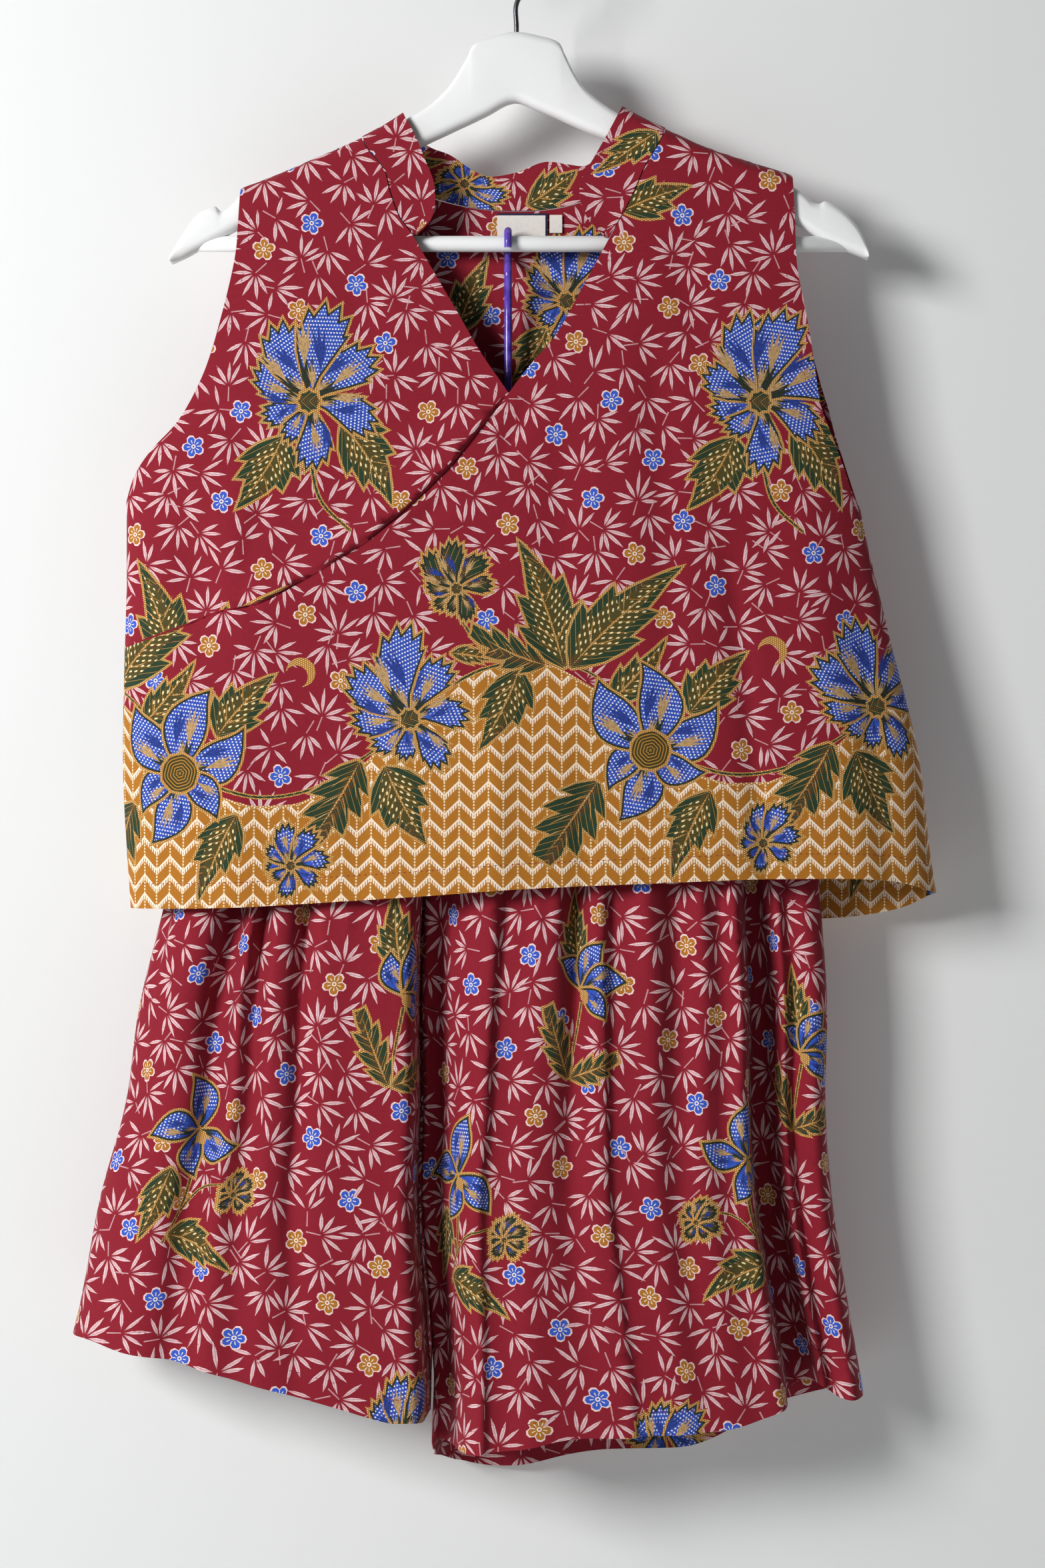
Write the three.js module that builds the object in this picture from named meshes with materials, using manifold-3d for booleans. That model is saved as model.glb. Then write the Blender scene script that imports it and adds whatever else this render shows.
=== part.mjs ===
// A samfu of printed cotton on a wooden hanger: a sleeveless crossover top with a stand collar,
// and wide gathered shorts on a coated wire hanger that hooks over the wooden hanger's bar.
// Millimetres. +X is the viewer's right, +Z is up and the front of the clothes faces -Y.
// The origin is the inside top of the metal hook. A drop is a distance below that point.

import * as THREE from 'three';
import { mergeVertices } from 'three/addons/utils/BufferGeometryUtils.js';
import Module from 'manifold-3d';

const wasm = await Module();
wasm.setup();

// Cloth
const CLOTH_WALL = 1.2;
const COLLAR_WALL = 1.6;
const WAISTBAND_WALL = 2.4;
const LABEL_WALL = 1.0;
const SEAM_GAP = 0.3;
const LAYER_LIFT = 1.9;
const SHOULDER_ROLL = 9;

// Wooden hanger
const HANGER_THICKNESS = 13;
const HANGER_EDGE_ROUND = 5.5;
const BAR_DIAMETER = 9.8;
const BAR_DROP = 193.6;
const BAR_LEFT = -202.7;
const BAR_RIGHT = 205.7;
const HOOK_WIRE = 3;
const HOOK_RADIUS = 19;
const HOOK_SHANK_X = -0.8;
const HOOK_SHANK_TOP = 46;
const HOOK_SHANK_BOTTOM = 75;

// Coated wire hanger inside the top
const WIRE = 4.8;
const WIRE_SHANK = 4.5;
const WIRE_HOOK_RADIUS = 8.6;
const WIRE_X = -6;
const WIRE_SEAT_GAP = 0.55;
const WIRE_NECK_DROP = 300;
const WIRE_CORNER_DROP = 384;
const WIRE_BASE_DROP = 440;

// Shorts
const WAIST_TOP = 425;
const WAIST_BOTTOM = 455.7;
const GATHER_TOP = 456;
const UPPER_LEVEL = 595;
const HEM_LEVEL = 890;
const CROTCH_START = 600;
const CROTCH_END = 690;
const INSEAM_Y = 2;

const smooth = (from, to, value) => THREE.MathUtils.smoothstep(value, from, to);
const mix = THREE.MathUtils.lerp;

// Turns rows under named columns into records.
function table(columns, rows) {
  return rows.map((row) => Object.fromEntries(columns.map((name, k) => [name, row[k]])));
}

// A smooth function through records, keyed by one column: it gives every other column.
function profile(key, records) {
  const names = Object.keys(records[0]).filter((name) => name !== key);
  return (where) => {
    const last = records.length - 2;
    let k = records.findIndex((row) => row[key] > where) - 1;
    if (k < 0) {
      k = where < records[0][key] ? 0 : last;
    }
    const [a, b] = [records[k], records[k + 1]];
    const [before, after] = [records[Math.max(k - 1, 0)], records[Math.min(k + 2, last + 1)]];
    const span = b[key] - a[key];
    const t = THREE.MathUtils.clamp((where - a[key]) / span, 0, 1);
    const result = {};
    for (const name of names) {
      const slopeA = (b[name] - before[name]) / (b[key] - before[key]) * span;
      const slopeB = (after[name] - a[name]) / (after[key] - a[key]) * span;
      result[name] = a[name] * (2 * t ** 3 - 3 * t ** 2 + 1) + slopeA * (t ** 3 - 2 * t ** 2 + t)
        + b[name] * (3 * t ** 2 - 2 * t ** 3) + slopeB * (t ** 3 - t ** 2);
    }
    return result;
  };
}

// Outlines of the top

// The top as a flat oval ring at each drop: its two side edges and its depth front and back.
// Above the underarms the edges run past the armholes, which are cut out of the oval.
const topRing = profile('drop', table(
  ['drop', 'left', 'right', 'front', 'back'],
  [
    [90, -215, 215, 10.8, 10.8],
    [160, -215, 215, 11, 11],
    [205, -215, 215, 12, 13],
    [240, -206, 207, 15, 14.5],
    [262, -204, 202, 17, 15],
    [285, -209, 201.5, 19, 16],
    [305, -218, 203.5, 20.5, 17],
    [325, -233, 206, 22, 18],
    [342, -239.5, 208.5, 23, 19],
    [362, -240.3, 211.2, 24, 20],
    [400, -240.3, 220, 27, 22],
    [442, -241.4, 230, 31, 25],
    [484, -242.4, 241, 34, 28],
    [520, -242.4, 248, 37, 31],
    [566, -240.2, 253, 40, 34],
    [612, -236.5, 260, 43, 37],
  ],
));

// The top line of the shoulders, over the hanger's arms. Between the collar's points it is open.
const ridge = profile('x', table(
  ['x', 'drop'],
  [
    [-240, 190],
    [-169.7, 160],
    [-145.5, 150.4],
    [-117.7, 138.4],
    [-95.9, 128.6],
    [-70.3, 113.8],
    [-30, 62],
    [25, 60],
    [64.4, 110],
    [91, 123.4],
    [116.8, 134.9],
    [142.7, 143.6],
    [168.1, 151.8],
    [240, 180],
  ],
));

// The neck seam and the collar's free edge, from the left front end round the back to the right.
const collarStations = table(
  ['side', 'seamX', 'seamDrop', 'freeX', 'freeDrop'],
  [
    [-1, -63.9, 191, -61.2, 189.2],
    [-1, -66.2, 188, -54.6, 183.5],
    [-1, -69, 184.4, -51.2, 176.5],
    [-1, -72, 180.5, -50.4, 168],
    [-1, -78.2, 164.3, -51.6, 157],
    [-1, -81.5, 151.3, -56.4, 145],
    [-1, -86, 144.8, -61, 133.4],
    [-1, -92.1, 137.8, -66.6, 121.8],
    [-1, -94.8, 132.6, -69.2, 117.4],
    [-1, -95.6, 129.7, -70, 114.9],
    [0, -95.9, 128.6, -70.3, 113.8],
    [1, -95.4, 129.8, -69.8, 114.9],
    [1, -93.9, 132.8, -68.4, 118],
    [1, -88, 140.6, -63.2, 125.6],
    [1, -78, 150, -53.6, 132],
    [1, -60, 160.6, -42, 136.4],
    [1, -40, 167, -30.5, 144.2],
    [1, -20, 170.4, -19.4, 149.6],
    [1, 0, 171.4, -1, 147.2],
    [1, 20, 170.2, 16.9, 140.6],
    [1, 40, 165.4, 31, 142.2],
    [1, 60, 155.6, 42.4, 143],
    [1, 76, 142.6, 51, 134.6],
    [1, 86.4, 130.6, 59.4, 119.8],
    [1, 89.6, 126, 62.8, 113.4],
    [1, 90.6, 124.4, 63.9, 111.2],
    [0, 91, 123.4, 64.4, 110],
    [-1, 90.8, 124.5, 63.9, 111.2],
    [-1, 90, 127.4, 62.2, 114.6],
    [-1, 86, 135, 55.4, 127.4],
    [-1, 78.7, 147.2, 45.6, 144.6],
    [-1, 71.7, 163.1, 38.4, 157.2],
    [-1, 66.4, 174.2, 38.6, 171.4],
    [-1, 62.4, 181.2, 43, 180.4],
    [-1, 59, 187.2, 49, 187.2],
    [-1, 55.9, 192.6, 53.2, 191.2],
  ],
);
const LEFT_SHOULDER_POINT = 10;
const RIGHT_SHOULDER_POINT = 26;

const neckLine = (from, to) => collarStations.slice(from, to + 1)
  .map((station) => [station.seamX, station.seamDrop]);
const leftNeck = neckLine(0, LEFT_SHOULDER_POINT).reverse();
const backNeck = neckLine(LEFT_SHOULDER_POINT, RIGHT_SHOULDER_POINT);
const rightNeck = neckLine(RIGHT_SHOULDER_POINT, collarStations.length - 1).reverse();

// Edges as x, drop pairs.
const leftTip = [-169.7, 160];
const rightTip = [168.1, 151.8];
const leftShoulder = [leftTip, [-145.5, 150.4], [-117.7, 138.4], leftNeck[0]];
const rightShoulder = [rightNeck.at(-1), [116.8, 134.9], [142.7, 143.6], rightTip];
const leftArmhole = [
  leftTip, [-171.2, 183], [-172.6, 201], [-177.4, 224.5], [-181.4, 240], [-186.6, 258.5],
  [-193.8, 278.4], [-207.6, 303.4], [-224.8, 322.2], [-234.2, 336], [-240, 352],
];
const rightFrontArmhole = [
  rightTip, [169.6, 183], [170.9, 210], [174.6, 230], [178.3, 250], [181.6, 272],
  [185.4, 296], [191.8, 312.5], [199.2, 332], [204.5, 347], [210.4, 358],
];
const rightBackArmhole = [
  rightTip, [169.6, 183], [172.6, 214], [179.2, 246.5], [187.4, 279.3], [191.6, 293],
  [195.6, 309.2], [200.5, 325], [205.4, 341], [210.4, 358],
];
const wrapEdge = [
  [-239.6, 442.4], [-204.8, 431.4], [-182.2, 422.6], [-155, 416.6], [-122.2, 398.2],
  [-90.7, 378.7], [-64.3, 357.3], [-39.2, 332.6], [-17.8, 305.1], [-5.6, 288.5],
  [8.9, 269.4], [22.3, 254], [40, 222], rightNeck[0],
];
const underEdge = [
  leftNeck.at(-1), [-52.8, 210.5], [-35, 241.4], [-23.2, 262.2], [-6.1, 287.4], [24, 330],
  [52, 362],
];
const UNDER_EDGE_X = 52;
const frontHem = [
  [-236.6, 601.6], [-170.4, 600], [-103.2, 596], [-58, 593], [-3.5, 589], [80.5, 585.4],
  [153.8, 583], [226.6, 584.6], [257.4, 592.4],
];
const backHem = [
  [-236.6, 601.6], [-170, 608], [-60, 611], [60, 611], [150, 611], [209.2, 608.4],
  [240.5, 602], [257.4, 592.4],
];

// Soft folds in the top: inward ones have a positive depth.
const topFolds = table(
  ['side', 'x', 'lean', 'from', 'to', 'width', 'depth'],
  [
    [-1, -203, 6, 330, 470, 15, 3.6],
    [-1, -174, 10, 300, 480, 18, -2],
    [-1, -120, -12, 430, 620, 34, 2.5],
    [-1, -30, 10, 400, 620, 40, -2.5],
    [-1, 60, 8, 420, 620, 30, 2.5],
    [-1, 130, 30, 300, 620, 26, 2.6],
    [-1, 172, 44, 300, 620, 18, -3],
    [-1, 196, 40, 380, 620, 12, 3.5],
    [1, -190, 10, 300, 620, 18, 3],
    [1, -110, 6, 260, 620, 34, -2.5],
    [1, -20, -8, 240, 620, 30, 3],
    [1, 70, 12, 260, 620, 34, -2.5],
    [1, 165, 40, 300, 620, 22, 3],
  ],
);

function topFoldDepth(x, drop, side) {
  let depth = 0;
  for (const fold of topFolds) {
    if (fold.side === side) {
      const along = THREE.MathUtils.clamp((drop - fold.from) / (fold.to - fold.from), 0, 1);
      const fadeIn = smooth(fold.from, fold.from + 60, drop);
      const fadeOut = fold.to > 600 ? 1 : 1 - smooth(fold.to - 60, fold.to, drop);
      const across = (x - fold.x - fold.lean * along) / fold.width;
      depth += fold.depth * Math.exp(-across * across) * fadeIn * fadeOut;
    }
  }
  return depth;
}

// How far the top's cloth lies in front of or behind the hanger's middle plane.
function topDepth(x, drop, side) {
  const ring = topRing(drop);
  const centre = (ring.left + ring.right) / 2;
  const half = (ring.right - ring.left) / 2;
  const reach = Math.min(1, Math.abs(x - centre) / half);
  const round = Math.sqrt(1 - reach ** 4);
  const under = Math.max(0, 1 - (drop - ridge(x).drop) / SHOULDER_ROLL);
  const roll = Math.sqrt(Math.max(0, 1 - under * under));
  const full = side < 0 ? ring.front : ring.back;
  return roll * round * (full - topFoldDepth(x, drop, side) * round);
}

const topPoint = (x, drop, side) => {
  const depth = Math.max(topDepth(x, drop, side), SEAM_GAP / 2);
  return new THREE.Vector3(x, side * depth, -drop);
};

// Grids and walls

// Points along a line of x, drop pairs, at even or eased parts of its length.
function along(points, count, ease = (t) => t) {
  const curve = new THREE.CatmullRomCurve3(
    points.map(([x, drop]) => new THREE.Vector3(x, 0, drop)), false, 'centripetal',
  );
  const result = [];
  for (let k = 0; k <= count; k += 1) {
    const point = curve.getPointAt(ease(k / count));
    result.push([point.x, point.z]);
  }
  return result;
}

const easeFromStart = (t) => t ** 2;
const easeToEnd = (t) => 1 - (1 - t) ** 2;

function joinLines(...lines) {
  return lines.flatMap((line, k) => (k ? line.slice(1) : line));
}

// Rows of a panel, close together under the shoulder line, as parts of its height.
const PANEL_ROWS = [
  0, 0.0025, 0.009, 0.022, 0.05, 0.1, 0.16, 0.23, 0.31, 0.4, 0.49, 0.58, 0.67, 0.76, 0.84,
  0.92, 1,
];

// A grid of x, drop pairs between four edges. Each edge is a list of pairs, the top one with
// a pair for each column, and the two sides run from the top down.
function fillPanel(top, hem, left, right) {
  const hemCurve = (part) => along(hem, 1, () => part)[0];
  const leftCurve = (part) => along(left, 1, () => part)[0];
  const rightCurve = (part) => along(right, 1, () => part)[0];
  const first = top[0];
  const last = top.at(-1);
  const grid = PANEL_ROWS.map(() => []);
  top.forEach((topPair, k) => {
    const byWidth = (topPair[0] - first[0]) / (last[0] - first[0]);
    const evening = 0.4 * Math.sin(Math.PI * byWidth);
    const u = mix(byWidth, k / (top.length - 1), evening);
    const hemPair = hemCurve(u);
    PANEL_ROWS.forEach((v, j) => {
      const [l, r] = [leftCurve(v), rightCurve(v)];
      grid[j].push([0, 1].map((c) => (1 - v) * topPair[c] + v * hemPair[c]
        + (1 - u) * l[c] + u * r[c]
        - (1 - v) * ((1 - u) * first[c] + u * last[c])
        - v * ((1 - u) * left.at(-1)[c] + u * right.at(-1)[c])));
    });
  });
  return grid;
}

// The direction square to the cloth at each grid point, towards -Y on a front piece. Where an
// edge lies on a seam plane, it stays in that plane, so that two walls meet end to end.
function gridDirections(grid, seamPlanes) {
  const rows = grid.length;
  const columns = grid[0].length;
  return grid.map((row, j) => row.map((point, i) => {
    const across = new THREE.Vector3().subVectors(
      row[Math.min(i + 1, columns - 1)], row[Math.max(i - 1, 0)],
    );
    const down = new THREE.Vector3().subVectors(
      grid[Math.min(j + 1, rows - 1)][i], grid[Math.max(j - 1, 0)][i],
    );
    const normal = new THREE.Vector3().crossVectors(down, across).normalize();
    const onEdge = i === 0 || j === 0 || i === columns - 1 || j === rows - 1;
    if (onEdge && seamPlanes.some((plane) => Math.abs(point.y - plane) < SEAM_GAP)) {
      normal.y = 0;
      normal.normalize();
    }
    return normal;
  }));
}

// A closed wall of even thickness about a grid of points. A ring's columns join up again.
function wallGeometry(grid, thickness, { ring = false, seamPlanes = [0] } = {}) {
  const rows = grid.length;
  const columns = grid[0].length;
  const points = ring ? grid.map((row) => [...row, row[0]]) : grid;
  const directions = gridDirections(points, seamPlanes);
  if (ring) {
    directions.forEach((row, j) => {
      const across = new THREE.Vector3().subVectors(grid[j][1], grid[j][columns - 1]);
      const other = grid[j ? j - 1 : j + 1][0];
      const down = new THREE.Vector3().subVectors(grid[j][0], other).multiplyScalar(j ? 1 : -1);
      row[0].crossVectors(down, across).normalize();
    });
  }
  const positions = [];
  for (const offset of [thickness / 2, -thickness / 2]) {
    for (let j = 0; j < rows; j += 1) {
      for (let i = 0; i < columns; i += 1) {
        positions.push(...grid[j][i].clone().addScaledVector(directions[j][i], offset).toArray());
      }
    }
  }
  const layer = rows * columns;
  const at = (j, i) => j * columns + (i % columns);
  const index = [];
  const quad = (a, b, c, d) => index.push(a, b, c, a, c, d);
  const cells = ring ? columns : columns - 1;
  for (let j = 0; j < rows - 1; j += 1) {
    for (let i = 0; i < cells; i += 1) {
      const [a, b, c, d] = [at(j, i), at(j, i + 1), at(j + 1, i + 1), at(j + 1, i)];
      quad(a, b, c, d);
      quad(layer + a, layer + d, layer + c, layer + b);
    }
  }
  for (let i = 0; i < cells; i += 1) {
    quad(at(0, i + 1), at(0, i), layer + at(0, i), layer + at(0, i + 1));
    const j = rows - 1;
    quad(at(j, i), at(j, i + 1), layer + at(j, i + 1), layer + at(j, i));
  }
  if (!ring) {
    for (let j = 0; j < rows - 1; j += 1) {
      quad(at(j, 0), at(j + 1, 0), layer + at(j + 1, 0), layer + at(j, 0));
      const i = columns - 1;
      quad(at(j + 1, i), at(j, i), layer + at(j, i), layer + at(j + 1, i));
    }
  }
  const geometry = new THREE.BufferGeometry();
  geometry.setAttribute('position', new THREE.Float32BufferAttribute(positions, 3));
  geometry.setIndex(index);
  return facingOut(geometry);
}

// Six times the volume is the sum of the triangles' triple products. A negative one is turned.
function facingOut(geometry) {
  const position = geometry.getAttribute('position');
  const index = geometry.getIndex();
  const corner = [0, 1, 2].map(() => new THREE.Vector3());
  let volume = 0;
  for (let k = 0; k < index.count; k += 3) {
    corner.forEach((point, c) => point.fromBufferAttribute(position, index.getX(k + c)));
    volume += corner[0].dot(corner[1].clone().cross(corner[2]));
  }
  if (volume < 0) {
    for (let k = 0; k < index.count; k += 3) {
      const swap = index.getX(k + 1);
      index.setX(k + 1, index.getX(k + 2));
      index.setX(k + 2, swap);
    }
  }
  return geometry;
}

// Joins and cuts
function toSolid(geometry) {
  const bare = geometry.clone();
  bare.deleteAttribute('normal');
  bare.deleteAttribute('uv');
  const MERGE_DISTANCE = 0.01;
  const merged = mergeVertices(bare, MERGE_DISTANCE);
  return new wasm.Manifold(new wasm.Mesh({
    numProp: 3,
    vertProperties: new Float32Array(merged.getAttribute('position').array),
    triVerts: new Uint32Array(merged.getIndex().array),
  }));
}

function fromSolid(solid) {
  const mesh = solid.getMesh();
  const geometry = new THREE.BufferGeometry();
  geometry.setAttribute('position', new THREE.BufferAttribute(mesh.vertProperties, 3));
  geometry.setIndex(new THREE.BufferAttribute(mesh.triVerts, 1));
  return geometry;
}

// A round wire along a line of points.
function wireGeometry(points, diameter, steps, closed = false) {
  const section = new THREE.Shape();
  section.absarc(0, 0, diameter / 2, 0, 2 * Math.PI, false);
  return new THREE.ExtrudeGeometry(section, {
    steps,
    curveSegments: 4,
    extrudePath: new THREE.CatmullRomCurve3(points, closed, 'centripetal'),
  });
}

const cotton = (color) => new THREE.MeshStandardMaterial({ color, roughness: 0.85, metalness: 0 });

function piece(name, geometry, material) {
  const mesh = new THREE.Mesh(geometry, material);
  mesh.name = name;
  return mesh;
}

// The top

// The station beside the shoulder point is left out, because columns would crowd there.
function overFront() {
  const neck = rightNeck.filter((pair, k) => k !== rightNeck.length - 2);
  const top = joinLines(
    along(wrapEdge, 17, easeFromStart), neck, along(rightShoulder, 7, easeToEnd),
  );
  const left = [wrapEdge[0], frontHem[0]];
  const right = joinLines(rightFrontArmhole, [
    rightFrontArmhole.at(-1), [219.8, 399], [230, 442], [241, 484], [248, 520], [253, 566],
    frontHem.at(-1),
  ]);
  const grid = fillPanel(top, frontHem, left, right);
  const points = grid.map((row) => row.map(([x, drop]) => topPoint(x, drop, -1)));
  const directions = gridDirections(points, [0]);
  const SHOULDER_FADE = 30;
  points.forEach((row, j) => row.forEach((point, i) => {
    const onSideSeam = point.y > -SEAM_GAP && point.x > 0;
    const belowRidge = smooth(0, SHOULDER_FADE, -point.z - ridge(point.x).drop);
    const lift = LAYER_LIFT * (1 - smooth(62, 125, point.x)) * belowRidge;
    point.addScaledVector(directions[j][i], onSideSeam ? 0 : lift);
  }));
  return piece('top_front_over', wallGeometry(points, CLOTH_WALL), cotton(0xa5233c));
}

function underFront() {
  const top = joinLines(
    along(leftShoulder, 6, easeFromStart), leftNeck, along(underEdge, 10),
  );
  const hemEnd = [UNDER_EDGE_X, 584.5];
  const hem = [...frontHem.filter(([x]) => x < UNDER_EDGE_X), [UNDER_EDGE_X, 586.5]]
    .map(([x, drop]) => [x, drop - 2]);
  const left = joinLines(leftArmhole, [
    leftArmhole.at(-1), [-240.3, 400], [-241.4, 442], [-242.4, 484], [-242.4, 520],
    [-240.2, 566], hem[0],
  ]);
  const grid = fillPanel(top, hem, left, [underEdge.at(-1), hemEnd]);
  const points = grid.map((row) => row.map(([x, drop]) => topPoint(x, drop, -1)));
  return piece('top_front_under', wallGeometry(points, CLOTH_WALL), cotton(0xa5233c));
}

function topBack() {
  const top = joinLines(
    along(leftShoulder, 6, easeFromStart), backNeck, along(rightShoulder, 6, easeToEnd),
  );
  const left = joinLines(leftArmhole, [
    leftArmhole.at(-1), [-240.3, 400], [-241.4, 442], [-242.4, 484], [-242.4, 520],
    [-240.2, 566], backHem[0],
  ]);
  const right = joinLines(rightBackArmhole, [
    rightBackArmhole.at(-1), [219.8, 399], [230, 442], [241, 484], [248, 520], [253, 566],
    backHem.at(-1),
  ]);
  const grid = fillPanel(top, backHem, left, right);
  const points = grid.map((row) => row.map(([x, drop]) => topPoint(x, drop, 1)));
  return piece('top_back', wallGeometry(points, CLOTH_WALL), cotton(0xa5233c));
}

// The stand collar: a stiff band that carries the body's line on past the neck seam.
function collar() {
  const SEAM_SHARE = 0.7;
  const spotPoint = (spot, side) => (side === 0
    ? new THREE.Vector3(spot.x, 0, -spot.y)
    : topPoint(spot.x, spot.y, side));
  const edges = collarStations.map((station) => {
    const seam = new THREE.Vector2(station.seamX, station.seamDrop);
    const free = new THREE.Vector2(station.freeX, station.freeDrop);
    const start = seam.clone().lerp(free, SEAM_SHARE / seam.distanceTo(free));
    return [spotPoint(start, station.side), spotPoint(free, station.side)];
  });
  const grid = [0, 0.5, 1].map((part) => edges
    .map(([start, free]) => start.clone().lerp(free, part)));
  return piece('collar', wallGeometry(grid, COLLAR_WALL, { seamPlanes: [] }), cotton(0xa5233c));
}

// A blank woven label and a small tab, sewn in below the back neck seam.
function neckLabel(name, left, right, top, bottom) {
  const OFF_CLOTH = 0.4;
  const inward = CLOTH_WALL / 2 + OFF_CLOTH + LABEL_WALL / 2;
  const grid = [top, (top + bottom) / 2, bottom].map((drop) => [0, 0.25, 0.5, 0.75, 1]
    .map((part) => {
      const x = mix(left, right, part);
      return new THREE.Vector3(x, topDepth(x, drop, 1) - inward, -drop);
    }));
  const paper = new THREE.MeshStandardMaterial({ color: 0xe9e6e2, roughness: 0.8 });
  return piece(name, wallGeometry(grid, LABEL_WALL, { seamPlanes: [] }), paper);
}

// The shorts

const shortsRing = profile('drop', table(
  ['drop', 'left', 'right', 'front', 'back', 'square'],
  [
    [420, -185, 173, 14, 13, 12],
    [456, -185, 173, 14, 13, 12],
    [520, -200, 180, 19, 18, 8],
    [603, -218, 186.3, 27, 25, 5],
    [662, -232.5, 190, 32, 28, 4],
    [722, -241, 189, 37, 31, 4],
    [780, -256.7, 193, 41, 34, 4],
    [840, -268, 202, 45, 37, 4],
    [900, -281, 212, 49, 39, 4],
    [960, -290, 219, 51, 40, 4],
  ],
));

const FOLD_COLUMNS = ['upperX', 'upperIn', 'hemX', 'hemIn'];

// Folds of each quarter from the viewer's left to the right: where each ridge or valley lies
// at the top's hem and at the shorts' hem, and how far in from the plain oval it is.
const frontLeftFolds = table(FOLD_COLUMNS, [
  [-206, -1, -258, 0],
  [-192, -3, -236, -2],
  [-178.5, 6.5, -214, 3],
  [-167, -2, -196, -2],
  [-157, 6, -172, 3],
  [-144, -2, -152, -2],
  [-134, 4.5, -134, 3.5],
  [-121, -3, -120, -2],
  [-108, 7.5, -104, 3],
  [-84, -4, -84, -3.5],
  [-65, -3.5, -62, -3.5],
  [-61.8, 2, -57.4, 3],
  [-60.2, 14, -55.2, 22],
]);
const frontRightFolds = table(FOLD_COLUMNS, [
  [-55.6, 14, -49.6, 26],
  [-52, 8, -48, 18],
  [-42, 3, -45.4, 12],
  [-31.5, 7.5, -43.8, 6],
  [-20, 1, -42.4, 2.5],
  [-11.5, 7.5, -40.8, -1],
  [-4, -3.5, -37, -3.5],
  [8.6, 4, -24, 1.5],
  [24, -3.5, -4, -3.5],
  [40, 6, 17, 3],
  [52, -3, 42, -3],
  [66, 5, 66, 2.5],
  [78, -3, 86, -3],
  [90, 6, 106, 3],
  [104, -3, 126, -3],
  [118, 4.5, 143, 1.5],
  [131, -4, 157, -4],
  [135.2, 3, 160.6, 4],
  [138, 18, 162.6, 22],
  [142.6, 23, 168, 36],
  [147, 17, 174.5, 34],
  [151, 4, 182.5, 17],
  [157, 2, 186, 12],
  [164, 6, 190.5, 14],
  [171, 1, 196, 7],
]);
const backLeftFolds = table(FOLD_COLUMNS, [
  [-200, -2, -246, -2],
  [-180, 6, -216, 4],
  [-158, -2, -186, -3],
  [-136, 6, -160, 4],
  [-112, -3, -134, -3],
  [-88, 6, -108, 4],
  [-62, -2, -82, -3],
  [-44, 3, -64, 0],
]);
const backRightFolds = table(FOLD_COLUMNS, [
  [-16, 3, -42, 0],
  [2, -2, -26, -3],
  [24, 6, 2, 4],
  [46, -3, 32, -3],
  [68, 6, 60, 4],
  [92, -3, 92, -3],
  [114, 6, 122, 4],
  [136, -3, 150, -3],
  [156, 5, 176, 4],
  [172, -2, 196, -1],
]);
const FRONT_SEAM = { upperX: -58.2, hemX: -52.4, inward: 3 };
const BACK_SEAM = { upperX: -30, hemX: -52.4, inward: 4 };

const frontHemLine = profile('x', table(['x', 'drop'], [
  [-290, 863], [-266, 863], [-242, 868], [-208.7, 872.6], [-158.5, 884.8], [-113.9, 896],
  [-77.2, 905.8], [-54.5, 908.8], [-50, 924.4], [-4.3, 923], [28.4, 916.6], [67, 915.2],
  [124, 911.4], [157, 901.6], [182, 892], [192.9, 898.8], [203.6, 900.8], [230, 897],
]));
const backHemLine = profile('x', table(['x', 'drop'], [
  [-290, 863], [-208, 868], [-113.9, 889], [-54.5, 902], [-50, 940], [-30, 953.4],
  [-4.6, 954.4], [29.6, 949], [56.8, 943.6], [100, 943.4], [130, 930], [170, 908],
  [203, 899.6], [230, 897],
]));

// A level's position across the oval, from 0 at the left side to 1 at the right.
function crossing(drop, x) {
  const ring = shortsRing(drop);
  return (x - ring.left) / (ring.right - ring.left);
}

function shortsSpot(upperX, hemX, upperIn, hemIn, drop, side) {
  const lower = THREE.MathUtils.clamp((drop - UPPER_LEVEL) / (HEM_LEVEL - UPPER_LEVEL), 0, 1);
  const share = mix(crossing(UPPER_LEVEL, upperX), crossing(HEM_LEVEL, hemX), lower);
  const ring = shortsRing(drop);
  const reach = Math.min(1, Math.abs(2 * share - 1));
  const oval = Math.sqrt(1 - reach ** ring.square) * (side < 0 ? ring.front : ring.back);
  const WAIST_GATHER = 2;
  const waistIn = THREE.MathUtils.clamp(upperIn, -WAIST_GATHER, WAIST_GATHER);
  const spread = smooth(GATHER_TOP, UPPER_LEVEL - 30, drop);
  const inward = mix(waistIn, mix(upperIn, hemIn, lower), spread);
  return { x: mix(ring.left, ring.right, share), depth: oval - inward };
}

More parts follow.
